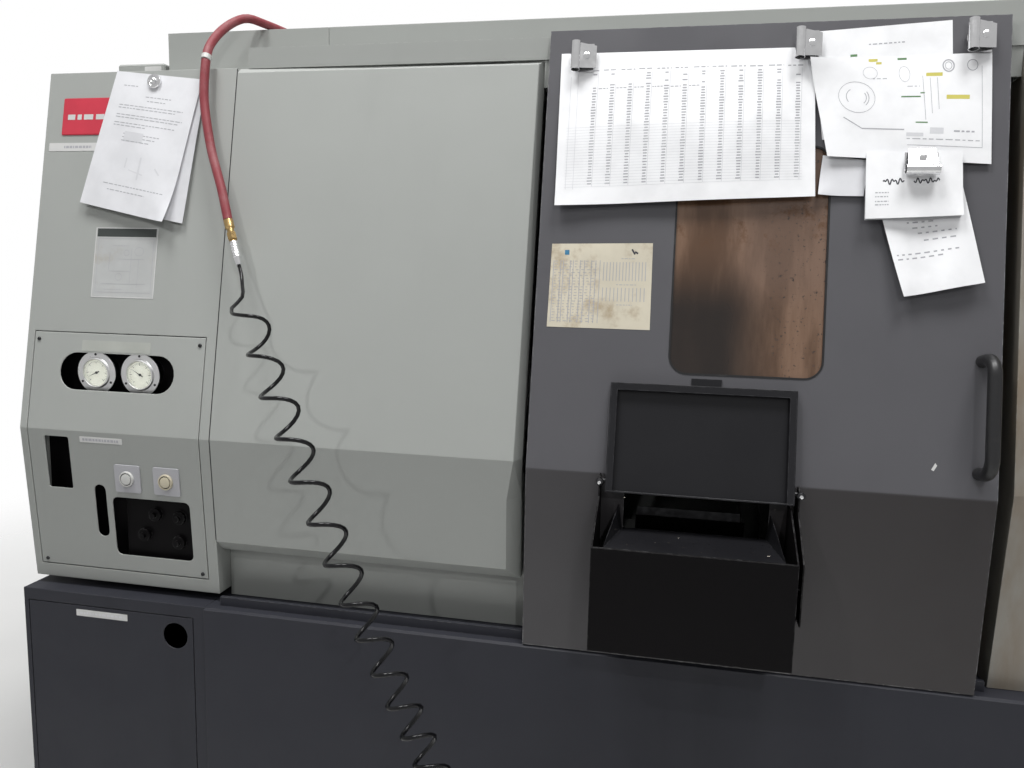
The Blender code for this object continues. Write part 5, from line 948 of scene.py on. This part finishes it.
def make_papers():
    chance = random.Random(7)
    # Letters under the round magnet
    Paper("letter_back", COLUMN_UP, ((0.168, 1.074), (0.366, 1.047), (0.343, 0.762), (0.13, 0.8)),
          (0.002, 0.002, 0.01, 0.006), grey_print_and_shade_paper, wave=0.001)
    corners = (0.1624, 1.0757), (0.359, 1.0528), (0.3121, 0.7598), (0.1083, 0.8024)
    lifts, curls = (0.004, 0.0045, 0.017, 0.012), ((1, 1, 0.35, 0.014),)
    sheet = Paper("letter", COLUMN_UP, corners, lifts, letter_paper, 0.004, 0.0012, curls)
    rows = []
    for v, u0, u1 in (
        (0.1, 0.13, 0.3), (0.17, 0.42, 0.72), (0.2, 0.45, 0.66), (0.245, 0.14, 0.88), (0.265, 0.14, 0.8),
        (0.315, 0.14, 0.9), (0.335, 0.14, 0.86), (0.375, 0.14, 0.84), (0.395, 0.14, 0.52),
        (0.45, 0.28, 0.7), (0.475, 0.28, 0.66), (0.5, 0.28, 0.6), (0.82, 0.2, 0.9), (0.86, 0.26, 0.7),
    ):
        rows += writing(chance, u0, u1, v, 0.0017, 0.05, 0.25)
    sheet.draw("print", ink, rows)
    sheet.draw("sketch", grey_print_and_shade_paper, [
        (0.03, (0.3, 0.485), (0.52, 0.485)), (0.004, (0.56, 0.6), (0.57, 0.76)),
        (0.003, (0.4, 0.62), (0.4, 0.69)), (0.003, (0.74, 0.66), (0.8, 0.7)),
        (0.002, (0.45, 0.7), (0.62, 0.72)),
    ])
    # The wide table under two clips
    sheet = Paper("table", DOOR_UP, ((1.0912, 1.0761), (1.527, 1.0744), (1.5357, 0.8172), (1.0964, 0.7976)),
                  (0.0012, 0.0012, 0.012, 0.014), white_paper, 0.009, 0.0016, ((0, 1, 0.3, 0.004),))
    rules, figures = [(0.0008, (0.045, 0.16), (0.04, 0.9)), (0.0008, (0.075, 0.14), (0.07, 0.9))], []
    for k in range(12):
        u = 0.15 + k * 0.0722
        rules.append((0.0009, (u + 0.008, 0.14), (u - 0.004, 0.885)))
        for i in range(40):
            v = 0.15 + i * 0.0184
            if i < 6 and chance.random() < 0.35:
                continue
            half = 0.01 * chance.uniform(0.6, 1.0)
            centre = u - 0.006 - 0.012 * (v - 0.14)
            figures.append((0.0022, (centre - half, v), (centre + half, v)))
        figures += writing(chance, u - 0.045, u + 0.012, 0.118 + 0.006 * chance.random(), 0.0018, 0.02)
    for k in range(6):
        u, v = k * 0.0722, 0.245 + 0.004 * chance.random()
        figures += writing(chance, 0.16 + u, 0.2 + u, v, 0.0016, 0.012)
    rules += [(0.0005, (0.035, 0.5 + 0.0184 * i), (0.95, 0.5 + 0.0184 * i)) for i in range(0, 22)]
    sheet.draw("rules", grey_print_and_shade_paper, rules)
    sheet.draw("figures", ink, figures)
    # Drawings under the right clip
    corners = (1.5235, 1.1004), (1.742, 1.1123), (1.7488, 0.9131), (1.5446, 0.9152)
    sheet = Paper("drawing_back", DOOR_UP, corners, (0.001, 0.001, 0.002, 0.002), white_paper)
    title = writing(chance, 0.4, 0.66, 0.155, 0.002, 0.035)
    sheet.draw("title", ink, title + writing(chance, 0.17, 0.24, 0.3))
    sheet.draw("green", green_ink, [(0.004, (0.26, 0.245), (0.31, 0.245))])
    sheet.draw("yellow", yellow_ink, [(0.004, (0.265, 0.3), (0.305, 0.3))])
    corners = (1.5177, 1.0501), (1.8031, 1.0561), (1.8055, 0.8718), (1.552, 0.884)
    lifts, curls = (0.006, 0.0022, 0.006, 0.012), ((0, 0, 0.4, 0.012),)
    sheet = Paper("drawing", DOOR_UP, corners, lifts, white_paper, 0.003, 0.001, curls)
    sheet.draw("outline", ink, [
        ring(0.235, 0.4, 0.105, 0.155), ring(0.235, 0.4, 0.06, 0.09, 0.0012, 150, 90),
        ring(0.235, 0.4, 0.07, 0.105, 0.0012, -30, 80), ring(0.235, 0.4, 0.055, 0.08, 0.0012, -30, 80),
        ring(0.765, 0.11, 0.03, 0.055, 0.002), ring(0.765, 0.11, 0.018, 0.035, 0.001),
        ring(0.895, 0.11, 0.028, 0.05, 0.0012), ring(0.33, 0.16, 0.04, 0.06, 0.0006),
        ring(0.52, 0.18, 0.03, 0.075, 0.0006), (0.0008, (0.62, 0.2), (0.62, 0.62)),
        (0.0008, (0.66, 0.22), (0.66, 0.56)), (0.0008, (0.7, 0.22), (0.7, 0.52)),
        (0.0014, (0.14, 0.6), (0.24, 0.71)), (0.0018, (0.24, 0.71), (0.49, 0.715)),
        (0.0008, (0.945, 0.12), (0.945, 0.86)), (0.0008, (0.5, 0.86), (0.945, 0.86)),
        *writing(chance, 0.5, 0.93, 0.8, 0.0014, 0.04), *writing(chance, 0.78, 0.9, 0.72, 0.0026, 0.03),
        *writing(chance, 0.34, 0.42, 0.22), *writing(chance, 0.53, 0.6, 0.3),
    ])
    shade_bars = [(0.01, (0.64, 0.72), (0.72, 0.72)), (0.006, (0.5, 0.76), (0.6, 0.76))]
    sheet.draw("shade", grey_print_and_shade_paper, shade_bars)
    sheet.draw("green", green_ink, [
        (0.0022, (0.49, 0.4), (0.6, 0.4)), (0.002, (0.6, 0.365), (0.625, 0.365)),
        (0.002, (0.56, 0.645), (0.63, 0.645)), (0.0034, (0.49, 0.03), (0.54, 0.03)),
    ])
    sheet.draw("yellow", yellow_ink, [
        (0.007, (0.745, 0.405), (0.875, 0.405)), (0.006, (0.64, 0.19), (0.73, 0.19)),
        (0.005, (0.33, 0.035), (0.38, 0.035)), (0.004, (0.37, 0.065), (0.4, 0.065)),
    ])
    Paper("drawing_flap", DOOR_UP, ((1.547, 0.889), (1.62, 0.88), (1.613, 0.8191), (1.54, 0.8206)),
          (0.002, 0.002, 0.006, 0.004), grey_print_and_shade_paper, curls=((0, 1, 0.6, 0.008),))
    # The pad of notes and the long note under it
    corners = (1.621, 0.86), (1.756, 0.865), (1.7985, 0.679), (1.676, 0.652)
    lifts, curls = (0.008, 0.008, 0.016, 0.012), ((0, 1, 0.5, 0.01),)
    sheet = Paper("long_note", DOOR_UP, corners, lifts, white_paper, -0.004, 0.003, curls, 24)
    rows = []
    for i, v in enumerate((0.45, 0.495, 0.54, 0.6, 0.7, 0.735)):
        u = 0.06 if i > 3 else 0.28 + 0.05 * i
        rows += writing(chance, u, 0.62 + 0.2 * (i in (2, 3, 4)), v - 0.02, 0.0022, 0.055, 0.8)
    sheet.draw("pen", ink, rows)
    for i in range(5):
        corners = (
            (1.6133 + 0.0004 * i, 0.8894), (1.7585, 0.89),
            (1.76, 0.783 + 0.0006 * i), (1.614, 0.7772 + 0.0005 * i),
        )
        top, foot = 0.0122 + 0.001 * i, 0.014 + 0.0014 * i
        Paper(f"pad_sheet_{i}", DOOR_UP, corners, (top, top, foot, foot), grey_print_and_shade_paper, steps=6)
    corners = (1.6123, 0.8894), (1.7585, 0.89), (1.7611, 0.7838), (1.6133, 0.7775)
    lifts, curls = (0.0175, 0.0175, 0.0215, 0.0215), ((1, 1, 0.5, 0.005),)
    sheet = Paper("pad_top", DOOR_UP, corners, lifts, white_paper, 0.001, 0.0006, curls)
    pen = []
    for u0, u1, loops, tall in ((0.18, 0.4, 4, 0.05), (0.5, 0.76, 5, 0.045)):
        line = []
        for i in range(41):
            t = i / 40
            wave = math.sin(loops * 6.283 * t) * math.cos(7.3 * t + loops)
            line.append((u0 + (u1 - u0) * t, 0.455 + tall * wave))
        pen.append((0.002, *line))
    sheet.draw("pen", dark_ink, pen)
    rows = [writing(chance, 0.1, 0.24, v, 0.0018, 0.03) for v in (0.62, 0.68, 0.75, 0.8)]
    sheet.draw("print", ink, sum(rows, []))
    # The chart, stuck flat
    sheet = Paper("chart", DOOR_UP, ((1.0935, 0.734), (1.2715, 0.7375), (1.2735, 0.587), (1.092, 0.587)),
                  (0.0002, 0.0002, 0.0002, 0.0002), aged_card, steps=8)
    lines = [0.03 + 0.014 * k for k in (0, 5, 7, 12, 14, 19, 22, 27, 30, 33)]
    rules = [(0.0012, (u, 0.2), (u, 0.94)) for u in lines]
    for low, high, cells in ((0.22, 0.44, 14), (0.52, 0.68, 12)):
        lines = [0.53 + 0.44 * k / cells for k in range(cells)]
        rules += [(0.0013, (u, low), (u, high)) for u in lines]
    for k in range(22):
        rules += writing(chance, 0.04, 0.46, 0.21 + 0.034 * k, 0.0011, 0.03, 0.9)
    for u0, u1, v in ((0.7, 0.84, 0.18), (0.66, 0.86, 0.485), (0.67, 0.82, 0.72)):
        rules += writing(chance, u0, u1, v)
    sheet.draw("table", ink, rules)
    sheet.draw("blue", blue_ink, [(0.0085, (0.135, 0.105), (0.18, 0.105))])
    sheet.draw("mark", dark_ink, [(0.003, (0.8, 0.07), (0.83, 0.13)), (0.003, (0.83, 0.1), (0.86, 0.12))])


make_papers()


CLIP_SIZE = 1.18


def clip(name, x, z, out, turn):
    """A spring clip on a round magnet: a rolled back, two leaves and a rivet."""
    place = DOOR_UP.at(x, z, out)
    basis = Matrix((DOOR_UP.up.cross(-DOOR_UP.out), DOOR_UP.up, DOOR_UP.out)).transposed()
    bm = bmesh.new()
    disc = [(0, -0.0005), (0.015, -0.0005), (0.0155, 0), (0.0155, 0.0022), (0.0148, 0.003), (0, 0.003)]
    turned(bm, disc, (0, 0, 0), (0, 0, 1), 40)
    # The rolled back seen from its end, as places along the sheet and out from it
    profile = [(0.016, 0.0036), (-0.004, 0.004), (-0.01, 0.0052), (-0.0145, 0.0078), (-0.0175, 0.0115)]
    for i in range(12):
        angle = math.radians(190 - 24 * i)
        profile.append((-0.0105 + 0.0072 * math.cos(angle), 0.0135 + 0.0072 * math.sin(angle)))
    half = 0.0215
    inner = []
    for i, (y, z0) in enumerate(profile):
        y0, z1 = profile[max(i - 1, 0)]
        y2, z2 = profile[min(i + 1, len(profile) - 1)]
        side = Vector((z2 - z1, -(y2 - y0))).normalized() * 0.0009
        inner.append((y + side.x, z0 + side.y))
    loop = profile + inner[::-1]
    ends = [[bm.verts.new((x0, y, z0)) for y, z0 in loop] for x0 in (-half, half)]
    band(bm, *ends)
    for end in ends:
        for i in range(len(profile) - 1):
            bm.faces.new((end[i], end[i + 1], end[-2 - i], end[-1 - i]))
    leaf = ((-0.0195, -0.006, 0.015), (0.0195, -0.006, 0.015), (0.017, 0.02, 0.0062), (-0.017, 0.02, 0.0062))
    low = [bm.verts.new(corner) for corner in leaf]
    prism(bm, low, [bm.verts.new(v.co + Vector((0, 0.0003, 0.001))) for v in low])
    rivet = [(0.005, 0.006), (0.005, 0.014), (0.003, 0.015), (0, 0.015)]
    turned(bm, rivet, (0, 0.006, 0), (0, 0, 1), 20)
    basis = (basis @ Matrix.Rotation(turn, 3, "Z")).to_4x4()
    bm.transform(Matrix.Translation(place) @ basis @ Matrix.Scale(CLIP_SIZE, 4))
    finish_mesh(name, bm, chrome, "door", smooth=35)


clip("clip_left", 1.1317, 1.064, 0.0035, math.pi / 2)
clip("clip_middle", 1.5131, 1.074, 0.004, math.pi / 2)
clip("clip_right", 1.7814, 1.079, 0.004, math.pi / 2)
clip("clip_low", 1.6945, 0.866, 0.0215, 0.0)

magnet = [
    (0, 0.0), (0.0145, 0.0), (0.015, 0.0006), (0.015, 0.0046), (0.0138, 0.0062), (0.0105, 0.0066),
    (0.0098, 0.0052), (0.0062, 0.0052), (0.0056, 0.0085), (0.0034, 0.01), (0.0022, 0.0092), (0, 0.0092),
]
magnet_place = COLUMN_UP.at(0.2533, 1.0497, 0.0062)
round_piece("round_magnet", magnet, magnet_place, COLUMN_UP.out, chrome, "machine", 48)


def label(name, face, x0, x1, z0, z1, material, radius=0.001, thickness=0.0004, bevel=0.0):
    outline = rounded(x0, x1, z0, z1, radius, 3 if bevel else 2)
    slab(name, face, outline, thickness, material, lift=0.0001, bevel=bevel)


label("gauge_label", COLUMN_UP, 0.131, 0.288, 0.503, 0.525, pale_label, radius=0.002)
label("slot_label", COLUMN_LOW, 0.14, 0.237, 0.3195, 0.3315, white_label)
label("cabinet_label", CABINET, 0.121, 0.241, -0.049, -0.035, white_label)
label("red_plate", COLUMN_UP, 0.04, 0.153, 0.945, 1.022, red_label, 0.003, 0.0016, 0.0006)
scuff = ((1.733, 0.38), (1.737, 0.378), (1.742, 0.387), (1.739, 0.391))
slab("door_scuff", DOOR_UP, scuff, 0.0001, white_label, lift=0.0001)
label("white_strip", COLUMN_UP, 0.012, 0.14, 0.912, 0.929, white_label)


def print_sheet(name, face, x0, x1, z0, z1, material=white_label, lift=0.0003, steps=2):
    corners = (x0, z1), (x1, z1), (x1, z0), (x0, z0)
    return Paper(name, face, corners, (lift,) * 4, material, steps=steps)


def make_label_marks():
    """Rows of small bars where labels carry print, and the oil diagram."""
    chance = random.Random(11)
    sheet = print_sheet("slot_print", COLUMN_LOW, 0.141, 0.236, 0.32, 0.331)
    sheet.draw("marks", ink, writing(chance, 0.06, 0.94, 0.5, 0.005, 0.07, 0.25))
    sheet = print_sheet("red_print", COLUMN_UP, 0.042, 0.151, 0.947, 1.02, red_label, 0.0019, steps=4)
    bars = ((0.1, 0.16), (0.31, 0.09), (0.45, 0.2), (0.71, 0.18))
    sheet.draw("marks", white_label, [(0.011, (u, 0.52), (u + wide, 0.52)) for u, wide in bars])
    sheet = print_sheet("strip_print", COLUMN_UP, 0.013, 0.139, 0.9125, 0.9285)
    sheet.draw("marks", ink, writing(chance, 0.28, 0.8, 0.5, 0.0048, 0.05, 0.3))
    sheet = print_sheet("cabinet_print", CABINET, 0.123, 0.239, -0.048, -0.036)
    sheet.draw("marks", grey_print_and_shade_paper, writing(chance, 0.06, 0.94, 0.5, 0.0045, 0.07, 0.3))
    sheet = print_sheet("oil_label", COLUMN_UP, 0.141, 0.285, 0.612, 0.755, oil_card, 0.0001, steps=4)
    rim = ((0.012, 0.012), (0.988, 0.012), (0.988, 0.988), (0.012, 0.988), (0.012, 0.012))
    sheet.draw("rim", white_label, [(0.0016, *rim)])
    sheet.draw("header", dark_label, [(0.017, (0.03, 0.075), (0.97, 0.075))])
    sheet.draw("diagram", ink, [
        (0.001, (0.26, 0.35), (0.25, 0.6)), (0.0007, (0.25, 0.62), (0.6, 0.62)),
        (0.0007, (0.6, 0.3), (0.6, 0.8)), (0.0007, (0.4, 0.45), (0.8, 0.45)),
        (0.0007, (0.72, 0.45), (0.72, 0.85)), ring(0.42, 0.7, 0.05, 0.05, 0.0007),
        ring(0.72, 0.34, 0.07, 0.06, 0.0007), ring(0.52, 0.36, 0.04, 0.04, 0.0007),
        (0.0007, (0.15, 0.8), (0.85, 0.8)),
        (0.0008, (0.06, 0.16), (0.94, 0.16), (0.94, 0.92), (0.06, 0.92), (0.06, 0.16)),
        *writing(chance, 0.3, 0.55, 0.26, 0.001), *writing(chance, 0.2, 0.5, 0.88, 0.001),
    ])


make_label_marks()


# Handle and lid screws on the door


def make_handle():
    """A bar bent out at both ends."""
    low, high, x = 0.378, 0.556, 1.804
    reach, bend, radius = 0.052, 0.028, 0.0105
    feet = [DOOR_UP.at(x, z, 0.0004) for z in (low, high)]
    points = [feet[0]]
    for end, sign, order in ((feet[0], 1, range(11)), (feet[1], -1, range(10, -1, -1))):
        for i in order:
            angle = math.radians(9 * i)
            out = reach - bend + bend * math.sin(angle)
            points.append(end + DOOR_UP.out * out + DOOR_UP.up * (sign * bend * (1 - math.cos(angle))))
    points.append(feet[1])
    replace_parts(hose("door_handle_bar", points, radius, black_plastic, "door"), "door_handle")


make_handle()

screw_head = [(0, -0.002), (0.007, -0.002), (0.007, 0.0008), (0.0062, 0.003), (0.004, 0.0046), (0, 0.0052)]
pin = [(0, 0.004), (0.0032, 0.004), (0.003, 0.0062), (0.0018, 0.007), (0, 0.0072)]
for side, x in (("left", 1.2035), ("right", 1.53)):
    place = at(x, -0.0478 - 0.012, 0.331)
    round_piece(f"lid_screw_{side}", screw_head, place, (0, -1, 0), dark_steel, "door", 28)
    round_piece(f"lid_pin_{side}", pin, place, (0, -1, 0), chrome, "door", 20)


def make_sheet_details():
    """The lid's turned-in lips, the seam beside the column, and the tag on the box behind."""
    lean = 0.2462
    lid = Face(-0.0477 + 0.009 * math.cos(lean), 0.331 - 0.009 * math.sin(lean), lean, "lid")
    x0, x1, wide = 1.2137, 1.5203, 0.011
    low, high = lid.z - 0.0172, lid.z + 0.1637
    outline = [
        (x0, low), (x0, high), (x1, high), (x1, low),
        (x1 - wide, low), (x1 - wide, high - wide), (x0 + wide, high - wide), (x0 + wide, low),
    ]
    slab("lid_lips", lid, outline, 0.0024, black_paint, lift=0.0125)
    for name, face, z0, z1 in (("upper", COLUMN_UP, KNEE, 1.0745), ("lower", COLUMN_LOW, 0.134, KNEE)):
        outline = [(0.4312, z0), (0.4328, z0), (0.4328, z1), (0.4312, z1)]
        slab(f"column_seam_{name}", face, outline, 0.00015, black_plastic, lift=0.0001)
    tag = rounded(0.105, 0.147, 1.107, 1.129, 0.002, 3)
    slab("box_tag", Face(0.3, 1.1, 0), tag, 0.0006, white_label, bevel=0.0002)


def make_hidden_sides():
    """Seams and screws of the covers on the back and the ends."""
    top, foot = 1.722, LEDGE_Z + 0.012
    for name, wall, seams, ends in (
        ("back", BACK, (-0.415, 0.415), (-1.225, 1.23)),
        ("left_end", LEFT_END, (0.18,), (-0.345, 0.7)),
        ("right_end", RIGHT_END, (0.18,), (-0.4, 0.72)),
    ):
        for i, place in enumerate(seams):
            low, high = place - 0.001, place + 0.001
            outline = [(low, foot), (high, foot), (high, top), (low, top)]
            slab(f"{name}_seam_{i}", wall, outline, 0.0002, black_plastic)
        columns = [seam + side for seam in seams for side in (-0.022, 0.022)]
        for i, along in enumerate((ends[0] + 0.02, *columns, ends[1] - 0.02)):
            for k in range(4):
                height = foot + 0.025 + (top - foot - 0.05) * k / 3
                screw(f"{name}_screw_{i}_{k}", wall.at(along, height), wall.out, 0.0055)


def make_chips():
    """Fine steel chips in the catcher box and under its lid."""
    chance = random.Random(3)
    for name, body, count, low, high, size in (
        ("catcher_chips", "door", 60, (1.222, -0.15, 0.2515), (1.498, -0.06, 0.253), 0.0014),
        ("lid_chips", "door", 26, (1.215, -0.085, 0.3085), (1.5, -0.07, 0.31), 0.0012),
    ):
        bm = bmesh.new()
        for i in range(count):
            place = at(*[chance.uniform(a, b) for a, b in zip(low, high)])
            spin, tip = chance.uniform(0, 6.28), chance.uniform(-0.6, 0.6)
            turn = Matrix.Rotation(spin, 3, "Z") @ Matrix.Rotation(tip, 3, "X")
            long, wide = size * chance.uniform(0.5, 1.6), size * chance.uniform(0.15, 0.4)
            corners = [(-long, -wide, 0), (long, -wide, 0.0004), (long, wide, 0.0006), (-long, wide, 0.0002)]
            bm.faces.new([bm.verts.new(place + turn @ Vector(c)) for c in corners])
        finish_mesh(name, bm, oily_steel, body)


# Stage: floor, backdrop and light


def make_stage():
    floor_mat = Surface("pale_floor", (0.8, 0.8, 0.79), 0.8)
    away = floor_mat.add("ShaderNodeVectorMath", operation="LENGTH")
    floor_mat.put(away.inputs[0], floor_mat.place)
    floor_mat.put(floor_mat.shader.inputs["Alpha"], floor_mat.span(away.outputs["Value"], 1.9, 4.2, 1.0, 0.0))
    floor_mat.finish(floor_mat.mix(floor_mat.noise(3, 5), (0.77, 0.77, 0.76), (0.83, 0.83, 0.82)), 0.8)
    bm = bmesh.new()
    bmesh.ops.create_grid(bm, x_segments=1, y_segments=1, size=30)
    mesh = mesh_of("floor", bm)
    mesh.materials.append(floor_mat.material)
    linked("floor", mesh)

    world = bpy.data.worlds.new("studio")
    bpy.context.scene.world = world
    world.use_nodes = True
    nodes, links = world.node_tree.nodes, world.node_tree.links
    background = nodes["Background"]
    background.inputs["Color"].default_value = (1, 1, 1, 1)

    def combine(operation, *values):
        node = nodes.new("ShaderNodeMath")
        node.operation = operation
        for socket, value in zip(node.inputs, values):
            if isinstance(value, bpy.types.NodeSocket):
                links.new(value, socket)
            else:
                socket.default_value = value
        return node.outputs[0]

    # White where the camera sees it, dimmer in reflections and dimmer still as light
    path = nodes.new("ShaderNodeLightPath").outputs
    seen = combine("MAXIMUM", path["Is Camera Ray"], path["Is Transmission Ray"])
    mirrored = combine("MULTIPLY_ADD", path["Is Glossy Ray"], 0.36, 0.12)
    links.new(combine("MULTIPLY_ADD", seen, 0.88, mirrored), background.inputs["Strength"])

    for name, place, aim, size, power in (
        ("overhead_left", (-1.5, -1.75, 6.0), (-0.6, -0.5, 1.0), 1.6, 165),
        ("overhead_right", (1.2, -1.75, 6.0), (0.6, -0.5, 1.0), 1.6, 155),
        ("front_left", (-1.15, -2.55, 2.75), (-0.45, -0.58, 1.03), 0.05, 9),
        ("front_right", (0.55, -2.65, 2.15), (-0.45, -0.58, 1.03), 0.05, 8),
        ("rear", (0.4, 3.0, 4.2), (0, 0.5, 1.0), 1.8, 110),
    ):
        lamp = bpy.data.lights.new(name, "AREA")
        lamp.size = size
        lamp.energy = power
        obj = linked(name, lamp)
        obj.location = place
        obj.rotation_mode = "QUATERNION"
        obj.rotation_quaternion = (Vector(aim) - Vector(place)).to_track_quat("-Z", "Y")
        obj.visible_glossy = name.startswith("overhead")


make_sheet_details()
make_hidden_sides()
make_chips()
make_stage()
bpy.context.scene.view_settings.view_transform = "Standard"
